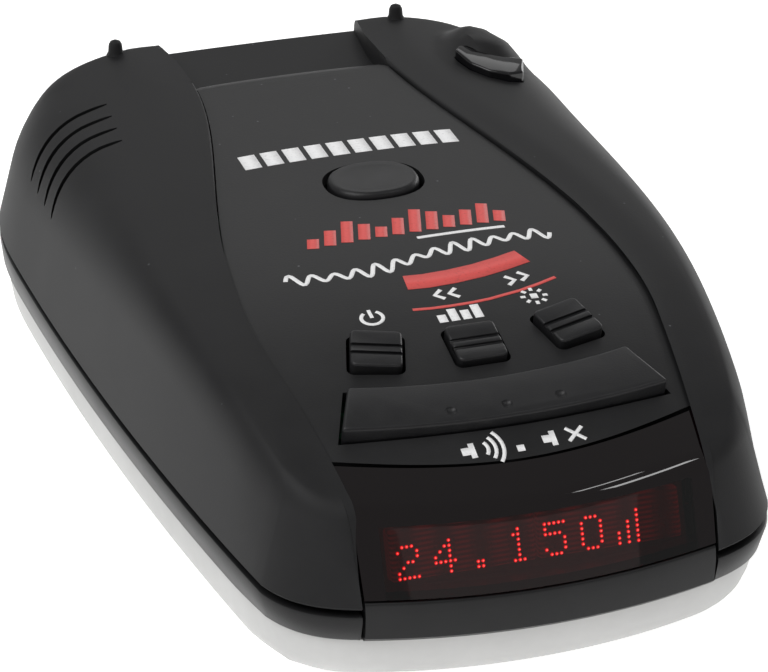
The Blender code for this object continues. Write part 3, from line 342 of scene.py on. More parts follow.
def hand_over(obj, body, slot, finish, *nodes):
    """Gives a piece its finish and body, and lets it stand for the CAD nodes it refines."""
    obj.data.materials.clear()
    obj.data.materials.append(finish)
    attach(obj, body)
    if nodes:
        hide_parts(*nodes)
    return obj


# ------------------------------------------------------------------ finishes
def linear(code):
    """sRGB hex to the linear colour that the shaders work in."""
    parts = [int(code[i:i + 2], 16) / 255 for i in (1, 3, 5)]
    return tuple(c / 12.92 if c <= 0.04045 else ((c + 0.055) / 1.055) ** 2.4 for c in parts) + (1.0,)


def add(tree, kind, settings=(), **links):
    """Adds a node; settings are attributes, links go to its sockets by name as values or sockets."""
    node = tree.nodes.new(kind)
    for key, value in dict(settings).items():
        setattr(node, key, value)
    for key, value in links.items():
        socket = node.inputs[int(key[1:]) if key[0] == "_" else key.replace("_", " ")]
        if isinstance(value, bpy.types.NodeSocket):
            tree.links.new(value, socket)
        else:
            socket.default_value = value
    return node


def finish(name, colour, roughness, ior=1.5, metallic=0.0, **sockets):
    """A material with its Principled shader, Object coordinates and output."""
    mat = bpy.data.materials.new(name)
    mat.use_nodes = True
    tree = mat.node_tree
    tree.nodes.clear()
    place = add(tree, "ShaderNodeTexCoord").outputs["Object"]
    shader = add(tree, "ShaderNodeBsdfPrincipled", Base_Color=linear(colour), Roughness=roughness,
                 Metallic=metallic, IOR=ior, **sockets)
    add(tree, "ShaderNodeOutputMaterial", Surface=shader.outputs["BSDF"])
    mat.diffuse_color = linear(colour)
    return mat, tree, place, shader


def grain(tree, place, shader, pitch, depth, strength, detail=3.0):
    """Bump of a moulded or sprayed surface; pitch and depth in millimetres."""
    noise = add(tree, "ShaderNodeTexNoise", Vector=place, Scale=1.0 / (pitch * MM), Detail=detail,
                Roughness=0.6)
    bump = add(tree, "ShaderNodeBump", Height=noise.outputs["Fac"], Strength=strength,
               Distance=depth * MM)
    tree.links.new(bump.outputs["Normal"], shader.inputs["Normal"])
    return noise


def mottle(tree, place, shader, colours, pitch, roughness=None):
    """Slow colour and gloss changes of handled plastic; pitch in millimetres."""
    noise = add(tree, "ShaderNodeTexNoise", Vector=place, Scale=1.0 / (pitch * MM), Detail=4.0,
                Roughness=0.62)
    ramp = add(tree, "ShaderNodeValToRGB", Fac=noise.outputs["Fac"])
    ramp.color_ramp.elements[0].position, ramp.color_ramp.elements[1].position = 0.34, 0.68
    ramp.color_ramp.elements[0].color, ramp.color_ramp.elements[1].color = map(linear, colours)
    tree.links.new(ramp.outputs["Color"], shader.inputs["Base Color"])
    if roughness:
        span = add(tree, "ShaderNodeMapRange", Value=noise.outputs["Fac"], To_Min=roughness[0],
                   To_Max=roughness[1])
        tree.links.new(span.outputs["Result"], shader.inputs["Roughness"])
    return ramp


def dust(tree, place, ramp, shader, pitch, colour, size):
    """Sparse pale specks, one in a cell of about pitch millimetres."""
    cells = add(tree, "ShaderNodeTexVoronoi", Vector=place, Scale=1.0 / (pitch * MM), Randomness=1.0)
    spot = add(tree, "ShaderNodeMapRange", Value=cells.outputs["Distance"], From_Min=size,
               From_Max=size * 0.4, To_Min=0.0, To_Max=0.6)
    mixed = add(tree, "ShaderNodeMix", {"data_type": "RGBA"}, _0=spot.outputs["Result"],
                _6=ramp.outputs["Color"], _7=linear(colour))
    tree.links.new(mixed.outputs[2], shader.inputs["Base Color"])


def black_moulding(name, base, roughness, specular, tones, tone_pitch, gloss, peel):
    """Near-black plastic; tones and gloss vary over tone_pitch, peel is (pitch, depth, strength)."""
    mat, tree, place, shader = finish(name, base, roughness, Specular_IOR_Level=specular)
    ramp = mottle(tree, place, shader, tones, tone_pitch, gloss)
    grain(tree, place, shader, *peel)
    return mat, tree, place, shader, ramp


def soft_touch():
    """Soft-touch lacquer sprayed on moulded ABS: near-black, satin, with a 0.2 mm orange peel."""
    mat, tree, place, shader, ramp = black_moulding(
        "soft_touch_black_lacquer", "#1e1e1f", 0.55, 0.22, ("#1b1b1c", "#212122"), 9.0, (0.50, 0.60),
        (0.22, 0.05, 0.22))
    dust(tree, place, ramp, shader, 3.6, "#6c6d70", 0.045)
    return mat


def panel_abs():
    """Black ABS from a fine spark-eroded mould: a 0.25 mm grain with a dull gloss."""
    mat, tree, place, shader, ramp = black_moulding(
        "spark_grain_black_abs", "#1c1c1d", 0.42, 0.30, ("#19191a", "#1f1f20"), 7.0, (0.40, 0.50),
        (0.26, 0.05, 0.25))
    dust(tree, place, ramp, shader, 3.2, "#7d7e82", 0.05)
    return mat


def key_abs():
    """Satin moulded ABS of the keys, a little smoother than the panel round them."""
    return black_moulding("satin_key_abs", "#1b1b1c", 0.4, 0.35, ("#18181a", "#1e1e1f"), 2.5, (0.34, 0.46),
                          (0.18, 0.04, 0.3))[0]


def strip_abs():
    """Satin black ABS of the strip and bezel."""
    return black_moulding("satin_strip_abs", "#19191a", 0.36, 0.25, ("#171718", "#1c1c1d"), 6.0,
                          (0.34, 0.44), (0.3, 0.04, 0.18))[0]


def tray_abs():
    """Light grey moulded ABS with a fine matt texture and faint flow lines."""
    mat, tree, place, shader = finish("light_grey_moulded_abs", "#cfcfce", 0.55, 1.53)
    mottle(tree, place, shader, ("#bebebd", "#c8c8c7"), 12.0, (0.50, 0.60))
    grain(tree, place, shader, 0.35, 0.06, 0.25)
    return mat


def lens_acrylic():
    """Smoked red acrylic, polished; black screen print behind all of it but the window."""
    mat, tree, place, shader = finish("smoked_red_acrylic", "#0c0607", 0.03, 1.49)
    grain(tree, place, shader, 6.0, 0.03, 0.05, 1.0)
    spots = add(tree, "ShaderNodeSeparateXYZ", Vector=place)
    aside = add(tree, "ShaderNodeMath", {"operation": "ABSOLUTE"}, _0=spots.outputs["X"])
    inside = add(tree, "ShaderNodeMath", {"operation": "LESS_THAN"}, _0=aside.outputs["Value"],
                 _1=WINDOW_HALF * MM)
    below = add(tree, "ShaderNodeMath", {"operation": "LESS_THAN"}, _0=spots.outputs["Z"],
                _1=WINDOW_TOP * MM)
    clear = add(tree, "ShaderNodeMath", {"operation": "MULTIPLY"}, _0=inside.outputs["Value"],
                _1=below.outputs["Value"])
    tint = add(tree, "ShaderNodeMix", {"data_type": "RGBA"}, _0=clear.outputs["Value"],
               _6=linear("#0c0607"), _7=linear("#9c3a36"))
    tree.links.new(tint.outputs[2], shader.inputs["Base Color"])
    tree.links.new(clear.outputs["Value"], shader.inputs["Transmission Weight"])
    return mat


def ink(name, colour):
    """Pad-printed ink, slightly uneven where the film is thin."""
    mat, tree, place, shader = finish(name, colour, 0.5, 1.5)
    grain(tree, place, shader, 0.15, 0.02, 0.3)
    wear = add(tree, "ShaderNodeTexNoise", Vector=place, Scale=1.0 / (0.35 * MM), Detail=2.0)
    ramp = add(tree, "ShaderNodeValToRGB", Fac=wear.outputs["Fac"])
    dark = tuple(c * 0.82 for c in linear(colour)[:3]) + (1.0,)
    ramp.color_ramp.elements[0].position, ramp.color_ramp.elements[0].color = 0.25, dark
    ramp.color_ramp.elements[1].position, ramp.color_ramp.elements[1].color = 0.45, linear(colour)
    tree.links.new(ramp.outputs["Color"], shader.inputs["Base Color"])
    return mat


def lit(name, colour, strength):
    """A die under clear epoxy that emits its colour: a lit die of the display, or an unlit one whose faint emission
    is a painted glow.
    """
    mat, tree, place, shader = finish(name, colour, 0.4, 1.5, Emission_Color=linear(colour),
                                      Emission_Strength=strength)
    grain(tree, place, shader, 0.2, 0.01, 0.1)
    return mat


BAND = 0.314    # a wave texture of scale 1 has bands this far apart


def module_epoxy_painted_glow():
    """Dark red epoxy of a display module, with faint lines of painted stray light between its rows: the epoxy emits
    its own banded colour as a painted glow.
    """
    mat, tree, place, shader = finish("display_module_epoxy_painted_glow", "#2a0d0f", 0.35, 1.55)
    lines = add(tree, "ShaderNodeTexWave", {"wave_type": "BANDS", "bands_direction": "Z"}, Vector=place,
                Scale=BAND / (0.47 * MM), Distortion=0.4)
    cells = add(tree, "ShaderNodeTexWave", {"wave_type": "BANDS", "bands_direction": "X",
                                            "wave_profile": "SIN"}, Vector=place,
                Scale=BAND / (CELL_PITCH * MM), Phase_Offset=math.pi)
    painted_glow_bands = add(tree, "ShaderNodeMath", {"operation": "MULTIPLY"}, _0=lines.outputs["Fac"],
               _1=cells.outputs["Fac"])
    ramp = add(tree, "ShaderNodeValToRGB", Fac=painted_glow_bands.outputs["Value"])
    ramp.color_ramp.elements[0].color = linear("#1a0506")
    ramp.color_ramp.elements[1].color = linear("#7a1418")
    tree.links.new(ramp.outputs["Color"], shader.inputs["Base Color"])
    # painted glow: the banded colour is also emitted, so the unlit module glows faintly, brightest along the lines
    tree.links.new(ramp.outputs["Color"], shader.inputs["Emission Color"])
    shader.inputs["Emission Strength"].default_value = 0.4
    return mat


def circuit_board():
    """Glass epoxy under green solder mask: weave of 0.5 mm and copper tracks showing through."""
    mat, tree, place, shader = finish("green_solder_mask", "#14603a", 0.35, 1.55)
    tracks = add(tree, "ShaderNodeTexBrick", Vector=place, Scale=0.25 / MM, Color1=linear("#0f5230"),
                 Color2=linear("#1b7448"), Mortar=linear("#0b3f25"))
    tree.links.new(tracks.outputs["Color"], shader.inputs["Base Color"])
    grain(tree, place, shader, 0.5, 0.03, 0.2)
    return mat


def metal(name, colours, roughness, pitch):
    """Plated, cast or stamped metal with a slow tarnish and a fine grain."""
    mat, tree, place, shader = finish(name, colours[0], roughness, 1.5, 1.0)
    mottle(tree, place, shader, colours, pitch * 8, (roughness * 0.85, roughness * 1.2))
    grain(tree, place, shader, pitch, 0.03, 0.25)
    return mat


def plain_plastic(name, colours, roughness, pitch=0.3):
    """Small moulded plastic part with a fine grain."""
    mat, tree, place, shader = finish(name, colours[0], roughness, 1.52)
    mottle(tree, place, shader, colours, 3.0, (roughness * 0.9, roughness * 1.15))
    grain(tree, place, shader, pitch, 0.04, 0.25)
    return mat


def dark_acrylic():
    """Infrared-passing acrylic of the rear window: black and polished."""
    mat, tree, place, shader = finish("infrared_black_acrylic", "#0c0c0e", 0.06, 1.49)
    mottle(tree, place, shader, ("#0a0a0c", "#121214"), 3.0, (0.04, 0.12))
    return mat


SOFT_TOUCH = soft_touch()
PANEL_ABS = panel_abs()
KEY_ABS = key_abs()
STRIP_ABS = strip_abs()
TRAY_ABS = tray_abs()
LENS = lens_acrylic()
WHITE_INK = ink("white_pad_print", "#fbfbfb")
RED_INK = ink("red_pad_print", "#e25854")
DIE_LIT = lit("led_die_lit", "#ff1426", 2.6)
DIE_CORE = lit("led_die_core", "#ffe2e6", 9.0)
# unlit dies: their faint emission is a painted glow, not light of the display
DIE_UNLIT_PAINTED_GLOW = lit("led_die_unlit_painted_glow", "#3c0c10", 0.15)
MODULE_PAINTED_GLOW = module_epoxy_painted_glow()
BOARD = circuit_board()
DARK_ACRYLIC = dark_acrylic()
NICKEL = metal("nickel_plate", ("#b9b3a8", "#cfc9bf"), 0.22, 0.3)
ZINC = metal("die_cast_zinc", ("#a3a5a8", "#b9bbbd"), 0.42, 0.6)
TIN = metal("tinned_sheet", ("#adadaa", "#c2c2bf"), 0.3, 0.4)
STEEL = metal("stamped_steel", ("#a9a9a8", "#bdbdbc"), 0.3, 0.3)
SCREW = metal("black_zinc_screw", ("#3a3a3d", "#4a4a4d"), 0.35, 0.3)
FERRITE = metal("ferrite_and_plate", ("#3c3c40", "#4b4b4f"), 0.5, 0.5)
LABEL = metal("silver_label_film", ("#b4b5b7", "#c3c4c6"), 0.38, 0.5)
ACETAL = plain_plastic("white_acetal", ("#dcdbd5", "#e6e5df"), 0.35)
NYLON = plain_plastic("natural_nylon", ("#cfc8b8", "#d9d3c4"), 0.45)
JACK_NYLON = plain_plastic("black_jack_nylon", ("#1b1b1d", "#252527"), 0.38)
CHIP_EPOXY = plain_plastic("chip_epoxy", ("#18181a", "#232325"), 0.5, 0.2)
CONE_PAPER = plain_plastic("pressed_cone_paper", ("#202021", "#2b2b2c"), 0.8, 0.5)
SLEEVE = plain_plastic("capacitor_sleeve", ("#1d2440", "#28305a"), 0.35)


# ------------------------------------------------------------------ geometry node trees
def node_tree(name, sizes):
    """A tree with a geometry input, named number inputs and a geometry output."""
    tree = bpy.data.node_groups.new(name, "GeometryNodeTree")
    tree.interface.new_socket("Geometry", in_out="INPUT", socket_type="NodeSocketGeometry")
    for label, value in sizes.items():
        socket = tree.interface.new_socket(label, in_out="INPUT", socket_type="NodeSocketFloat")
        socket.default_value = value
    tree.interface.new_socket("Geometry", in_out="OUTPUT", socket_type="NodeSocketGeometry")
    return tree, add(tree, "NodeGroupInput").outputs


def close_tree(tree, geometry, material):
    """Realize Instances, Set Material, output."""
    real = add(tree, "GeometryNodeRealizeInstances", Geometry=geometry)
    painted = add(tree, "GeometryNodeSetMaterial", Geometry=real.outputs["Geometry"], Material=material)
    add(tree, "NodeGroupOutput", Geometry=painted.outputs["Geometry"])
    return tree


def grown(name, seed, tree, sizes):
    """Runs a tree on a seed mesh with its sizes in millimetres and keeps the plain mesh."""
    obj = bpy.data.objects.new(name, seed)
    bpy.context.scene.collection.objects.link(obj)
    mod = obj.modifiers.new("build", "NODES")
    mod.node_group = tree
    for item in tree.interface.items_tree:
        if item.in_out == "INPUT" and item.name in sizes:
            mod[item.identifier] = sizes[item.name] * MM
    return settle(obj)


def seed_points(name, points, normals, edges=()):
    """Points, each with the way it aims, and the edges between them."""
    mesh = bpy.data.meshes.new(name)
    mesh.from_pydata([tuple(p) for p in points], list(edges), [])
    layer = mesh.attributes.new("aim", "FLOAT_VECTOR", "POINT")
    layer.data.foreach_set("vector", [c for n in normals for c in n])
    return mesh


def stud_tree(name, material):
    """A low domed stud on every seed point, standing along its aim."""
    tree, given = node_tree(name, {"Radius": 0.2 * MM, "Height": 0.05 * MM})
    stud = add(tree, "GeometryNodeMeshCone", Vertices=12, Radius_Bottom=given["Radius"],
               Depth=given["Height"])
    shrink = add(tree, "ShaderNodeMath", {"operation": "MULTIPLY"}, _0=given["Radius"], _1=0.6)
    tree.links.new(shrink.outputs["Value"], stud.inputs["Radius Top"])
    aim = add(tree, "GeometryNodeInputNamedAttribute", {"data_type": "FLOAT_VECTOR"}, Name="aim")
    turned = add(tree, "FunctionNodeAlignRotationToVector", {"axis": "Z"},
                 Vector=aim.outputs["Attribute"])
    placed = add(tree, "GeometryNodeInstanceOnPoints", Points=given["Geometry"],
                 Instance=stud.outputs["Mesh"], Rotation=turned.outputs["Rotation"])
    return close_tree(tree, placed.outputs["Instances"], material)


def moulding_tree(name, material):
    """Sweeps a flat band of the given width and thickness along the seed's edges."""
    tree, given = node_tree(name, {"Width": 0.5 * MM, "Thickness": 0.05 * MM})
    path = add(tree, "GeometryNodeMeshToCurve", Mesh=given["Geometry"])
    aim = add(tree, "GeometryNodeInputNamedAttribute", {"data_type": "FLOAT_VECTOR"}, Name="aim")
    upright = add(tree, "GeometryNodeSetCurveNormal", {"mode": "FREE"}, Curve=path.outputs["Curve"],
                  Normal=aim.outputs["Attribute"])
    section = add(tree, "GeometryNodeCurvePrimitiveQuadrilateral", Width=given["Thickness"],
                  Height=given["Width"])
    band = add(tree, "GeometryNodeCurveToMesh", Curve=upright.outputs["Curve"],
               Profile_Curve=section.outputs["Curve"], Fill_Caps=True)
    return close_tree(tree, band.outputs["Mesh"], material)


# ------------------------------------------------------------------ top cover
def mound(x, y):
    """Height added over the shoulder by the smooth mound behind the rear window."""
    along = (y - MOUND_Y - 2.0) / (9.5 if y > MOUND_Y + 2.0 else 5.5)
    across = (x - MOUND_X - 1.6 + 0.10 * (y - MOUND_Y)) / (5.8 - 1.6 * max(0.0, along))
    away = math.sqrt(along * along + across * across)
    return MOUND_HEIGHT * ease(1.5 * (1.0 - away))


def cover_rows():
    """One section for each point of the outline, from the right front seam round to the left one."""
    base = half_outline()
    edge = inset(SIDE_LEAN, FRONT_LEAN, REAR_SIDE_LEAN, REAR_LEAN)
    first = STEPS[0]
    corner = sum(STEPS[:3]) + STEPS[3] // 2
    last = len(base) - 1
    right = []
    for i in range(first, last + 1):
        if i <= corner:
            y = SEAM_WIDE_Y + (PANEL_END - SEAM_WIDE_Y) * (i - first) / (corner - first)
            seam = (seam_x(y), y)
        else:
            seam = (SEAM_REAR * (1 - (i - corner) / (last - corner)), PANEL_END)
        right.append((base[i], edge[i], seam, i == first))
    left = [tuple((-p[0], p[1]) for p in row[:3]) + (row[3],) for row in reversed(right[:-1])]
    return [cover_section(*row) for row in right + left]


def cover_section(base, edge, seam, end):
    """Closed section from the foot of the wall over the shoulder to the seam, and back inside."""
    if end:
        side = 1.0 if base[0] > 0 else -1.0
        base = (side * SEAM_FRONT, base[1])
        edge = (side * seam_x(edge[1]), edge[1])
    share = front_share(base[1])
    away = Vector((base[0] - edge[0], base[1] - edge[1])).normalized()
    rounding = SHOULDER_ROUND + REAR_ROUND * rear_share(base[1])
    rounding += (REAR_ROUND - rounding) * max(0.0, away.y) ** 3
    rounding = RIDGE * share + rounding * (1 - share)
    low = at(base[0], base[1], SPLIT)
    top = at(edge[0], edge[1], shoulder_z(*edge))
    inward = Vector((seam[0] - edge[0], seam[1] - edge[1]))
    reach = inward.length
    inward.normalize()
    up = (top - low).normalized()

    def over(distance, sink=0.0):
        x = edge[0] + inward.x * distance
        y = edge[1] + inward.y * distance
        return at(x, y, shoulder_z(x, y) - sink)

    foot_round = [at(base[0] - away.x * FOOT_ROUND, base[1] - away.y * FOOT_ROUND, SPLIT),
                  low + up * FOOT_ROUND * MM]
    wall = [low + up * ((top - low).length - rounding * MM) * t for t in (0.35, 0.7)]
    outside = foot_round + wall + turn(top - up * rounding * MM, top, over(rounding), 10)
    outside += [over(rounding + (reach - rounding) * i / 12) for i in range(1, 12)]
    fillet = min(0.45, reach * 0.2)
    outside += turn(over(reach - fillet), over(reach), over(reach, fillet), 4)
    raised = []
    for p in outside:
        x, y, z = p.x / MM, p.y / MM + LENGTH / 2, p.z / MM
        raised.append(p + Vector((0, 0, mound(x, y) * ease((z - 17) / 6))) * MM)
    depth = STEP + PANEL_THICK + GAP + SEAT
    inside = [over(reach, depth)]
    inside += [over(rounding + (reach - rounding) * part, WALL) for part in (0.8, 0.4)]
    inside += turn(over(rounding + 0.9, WALL), over(WALL + 0.2, WALL),
                   over(WALL + 0.2, WALL) - up * rounding * 0.8 * MM, 2)
    inside.append(low + Vector((inward.x, inward.y, 0.0)) * WALL * MM)
    return raised + inside


def recess_pan():
    """Block under the bracket recess that gives it a floor and a rear sill."""
    half = SEAM_REAR + 2.73
    rows = []
    for y, high in ((PANEL_END - 5.8, RECESS + 2.15), (LENGTH - 7.57, RECESS + 1.85),
                    (LENGTH - 3.05, RECESS + 0.42)):
        rows.append([at(-half, y, RECESS - 1.7), at(half, y, RECESS - 1.7), at(half, y, high),
                     at(-half, y, high)])
    return skin("pan", rows)


def recess_opening():
    """The bracket recess; its floor meets the rear wall and the shoulders in soft corners."""
    rear = LENGTH + 2
    start = PANEL_END - 6
    outline = [(-SEAM_REAR - 0.1, start), (SEAM_REAR + 0.1, start), (SEAM_REAR + 0.1, PANEL_END + 8),
               (SEAM_REAR + 1.2, rear), (-SEAM_REAR - 1.2, rear), (-SEAM_REAR - 0.1, PANEL_END + 8)]
    return prism("recess", outline, RECESS, PEAK + 6)


def speaker_slot(i):
    """Blade that cuts one of the four curved speaker slots."""
    start = Vector((-0.920 * HALF, 0.794 * LENGTH - 3.37 * i))
    stop = Vector((-0.630 * HALF - 0.3 * i, 0.835 * LENGTH - 3.65 * i))
    bulge = (start + stop) / 2 + Vector((-2.2, 2.4))
    path = turn(start, bulge, stop, 20)
    rows = []
    for j, point in enumerate(path):
        along = (path[min(20, j + 1)] - path[max(0, j - 1)]).normalized()
        width = (0.24 + 0.18 * ease(j / 8)) * math.sqrt(max(0.12, 1 - abs(2 * j / 20 - 1) ** 8))
        across = Vector((along.y, -along.x)) * width
        a, b = point + across, point - across
        rows.append([at(a.x, a.y, PEAK - 9.6), at(b.x, b.y, PEAK - 9.6), at(b.x, b.y, PEAK + 4),
                     at(a.x, a.y, PEAK + 4)])
    return skin("slot", rows)


def window_plan(grow):
    """Faceted plan of the rear window, grown by a margin all round."""
    plan = [(-3.3, -0.3), (-2.6, -4.0), (-1.0, -6.2), (1.1, -7.2), (3.1, -6.8), (4.3, -3.2), (3.2, -2.9),
            (1.9, -2.5), (0.6, -1.8), (-0.6, -0.8), (-1.6, 0.5), (-2.4, 0.9)]
    centre = Vector((0.4, -3.4))
    result = []
    for x, y in plan:
        away = (Vector((x, y)) - centre).normalized() * grow
        result.append((MOUND_X + x + away.x, MOUND_Y + y + away.y))
    return result


def rear_nib(side):
    """Small blunt peg near the rear edge of a shoulder."""
    x, y = side * 0.494 * HALF - 0.3, LENGTH - 4.4
    z = shoulder_z(x, y)
    rows = []
    for height, radius in ((-1.2, 1.25), (-0.1, 1.1), (0.3, 0.88), (1.2, 0.8), (1.55, 0.62), (1.75, 0.25)):
        rows.append([at(x + across, y + along, z + height) for across, along in circle(radius, 20)])
    return skin("nib", rows)


def make_cover():
    cover = skin("cover_shell", cover_rows())
    carve(cover, [recess_pan(), rear_nib(-1), rear_nib(1)], "UNION")
    base = shoulder_z(MOUND_X, MOUND_Y - 3)
    pocket = prism("pocket", window_plan(0.08), base - 1.4, base + 6)
    carve(cover, [recess_opening(), pocket] + [speaker_slot(i) for i in range(4)])
    shade(cover, 32)
    return hand_over(cover, "case", "soft_black", SOFT_TOUCH, "top_cover")


# ------------------------------------------------------------------ control panel
def panel_front(x):
    """Where the panel meets the lens."""
    return LENS_END + LENS_END_BOW * (x / SEAM_FRONT) ** 2


def oval(width, depth):
    """An ellipse with slightly fuller corners."""
    points = []
    for c, s in circle(1.0, 64):
        points.append((width / 2 * math.copysign(abs(c) ** 0.86, c),
                       depth / 2 * math.copysign(abs(s) ** 0.86, s)))
    return points


# Key: across, along and turn in degrees, from the middle of the key row
KEYS = {
    "power_key": (-KEY_SIDE, 0.9, -16.0),
    "city_key": (0.0, -0.2, 0.0),
    "dim_key": (KEY_SIDE, 0.9, 16.0),
}


def key_place(name):
    x, y, twist = KEYS[name]
    return key_plane() @ Matrix.Translation(Vector((x, y, 0)) * MM) @ Matrix.Rotation(
        math.radians(twist), 4, "Z")


def bar_plan(grow):
    """Plan of the volume bar on the key plane: a bowed band with slanted ends."""
    half = BAR_HALF + grow
    steps = 28
    front, back = [], []
    for i in range(steps + 1):
        x = -half + 2 * half * i / steps
        middle = BAR_MIDDLE + BAR_BOW * x * x
        front.append((x * 1.075, middle - BAR_DEPTH / 2 - grow))
        back.append((x * 0.925, middle + BAR_DEPTH / 2 + grow))
    return front + back[::-1]


def make_panel():
    """The sloped skin between the seams, with softened edges and openings for what moves in it."""
    columns, rows = 34, 56
    front_corner = 0.115 * LENGTH
    sections = []
    for r in range(rows + 1):
        t = r / rows
        top, under = [], []
        for j in range(columns + 1):
            u = 2 * j / columns - 1
            start = panel_front(u * (seam_x(front_corner) - SEAM_GAP)) + GAP
            y = start + (PANEL_END - GAP - start) * t
            x = u * (seam_x(y) - SEAM_GAP)
            edge_fall = 0.12 * max(0.0, (abs(u) - 0.98) / 0.02) ** 2
            rear_fall = 0.55 * max(0.0, (y - PANEL_END + 1.6) / 1.6) ** 2
            top.append(at(x, y, skin_z(x, y) - edge_fall - rear_fall))
            under.append(at(u * (seam_x(y) - SEAM_GAP - 0.3), y, skin_z(x, y) - PANEL_THICK))
        sections.append(top + under[::-1])
    panel = skin("panel_skin", sections)
    hole = rounded(KEY_WIDTH + 2 * KEY_GAP, KEY_DEPTH + 2 * KEY_GAP, 0.9)
    tools = [prism("hole", hole, -7, 5, key_place(name)) for name in KEYS]
    tools.append(prism("hole", bar_plan(GAP + 0.05), -8, 6, key_plane()))
    button_hole = oval(BUTTON_WIDTH + 2 * BUTTON_GAP, BUTTON_DEPTH + 2 * BUTTON_GAP)
    tools.append(prism("hole", button_hole, RECESS, PEAK + 3, Matrix.Translation(at(0, BUTTON_Y, 0))))
    carve(panel, tools)
    shade(panel, 35)
    return hand_over(panel, "case", "panel_black", PANEL_ABS, "control_panel")


# ------------------------------------------------------------------ front lens and the strip under it
def front_y(x, z):
    """The leaning, bowed front face."""
    reach = FRONT_BOW * (x / SEAM_FRONT) ** 2
    return reach + FRONT_LEAN * (z - SPLIT) / (panel_z(FRONT_LEAN + reach) - SPLIT)


def make_lens():
    """One wall of acrylic: up the front face, over the ridge and back to the panel."""
    columns = 64
    rows = []
    for j in range(columns + 1):
        u = 2 * j / columns - 1

        def spot(y, z, fall, u=u):
            x = u * (seam_x(y) - GAP)
            return at(x, y, z - crown(x) * fall)

        reach = FRONT_BOW * u ** 2
        ridge = spot(FRONT_LEAN + reach, panel_z(FRONT_LEAN + reach) + 0.2, 1.0)
        low = spot(front_y(u * SEAM_FRONT, SPLIT + 1), SPLIT + 1, 0.0)
        back_y = panel_front(u * SEAM_FRONT)
        back = spot(back_y, panel_z(back_y), 1.0)
        down = (low - ridge).normalized() * RIDGE * MM
        over = (back - ridge).normalized() * RIDGE * MM
        bend = turn(ridge + down, ridge, ridge + over, 12)
        face = [low.lerp(bend[0], t) for t in (0.0, 0.04, 0.3, 0.6, 0.9)]
        mid_y = (FRONT_LEAN + reach + RIDGE + back_y) / 2
        outside = face + bend + [spot(mid_y, panel_z(mid_y) + 0.05, 1.0), back]
        inside = []
        for k, point in enumerate(outside):
            along = (outside[min(len(outside) - 1, k + 1)] - outside[max(0, k - 1)]).normalized()
            inward = Vector((0.0, along.z, -along.y)) * LENS_WALL
            if k == 0:
                inward = Vector((0.0, LENS_WALL + 0.1, 0.0))
            if k == len(outside) - 1:
                inward = Vector((0.0, 0.0, -LENS_WALL))
            inside.append(point + inward * MM)
        rows.append(outside + inside[::-1])
    lens = shade(skin("lens_shell", rows), 45)
    return hand_over(lens, "case", "lens_red", LENS, "front_lens")


def make_bezel():
    """Strip under the lens, hooked behind the front edge of the tray."""
    columns = 48
    low_z = SPLIT - SHADOW - STRIP
    rows = []
    for j in range(columns + 1):
        u = 2 * j / columns - 1
        x = u * (SEAM_FRONT - GAP)
        reach = FRONT_BOW * u ** 2
        high = SPLIT + 0.75
        lean = front_y(u * SEAM_FRONT, high)
        corner = turn(at(x, lean - 0.03, high - 0.35), at(x, lean, high), at(x, lean + 0.35, high), 4)
        rows.append([at(x, reach + 0.9, low_z), at(x, reach + 0.25, low_z + 0.6),
                     at(x, reach + 0.05, SPLIT - SHADOW)] + corner
                    + [at(x, reach + 3.9, high), at(x, reach + 3.9, high - 1.4),
                       at(x, reach + 2.6, high - 2.0), at(x, reach + 2.6, low_z)])
    bezel = shade(skin("bezel_strip", rows), 40)
    return hand_over(bezel, "case", "bezel_black", STRIP_ABS, "front_bezel")


def make_side_strip():
    """Black strip between cover and tray: one section carried round the outline."""
    first = STEPS[0]
    half = half_outline()
    sides = list(zip(half, outward(half)))[first:]
    line = sides + [((-p[0], p[1]), (-n[0], n[1])) for p, n in reversed(sides[:-1])]
    top = SPLIT - SHADOW
    low = top - STRIP
    rows = []
    for (x, y), (nx, ny) in line:
        if abs(abs(x) - SEAM_FRONT) < 0.01:
            nx, ny = 0.0, -1.0
        share = front_share(y)
        lean = 0.45 + 0.5 * share
        profile = [(lean + 0.2, low), (lean - 0.1, low + 0.3), (0.1, top - 0.45), (0.2, top - 0.12),
                   (0.45, top), (2.6, top), (3.1 + 0.8 * share, top + 2.4), (4.0 + 1.2 * share, top + 2.4),
                   (4.0 + 1.2 * share, top - 0.4), (2.0, low)]
        rows.append([at(x - nx * d, y - ny * d, z) for d, z in profile])
    strip = shade(skin("side_strip", rows), 40)
    return hand_over(strip, "case", "strip_black", STRIP_ABS, "mid_frame")


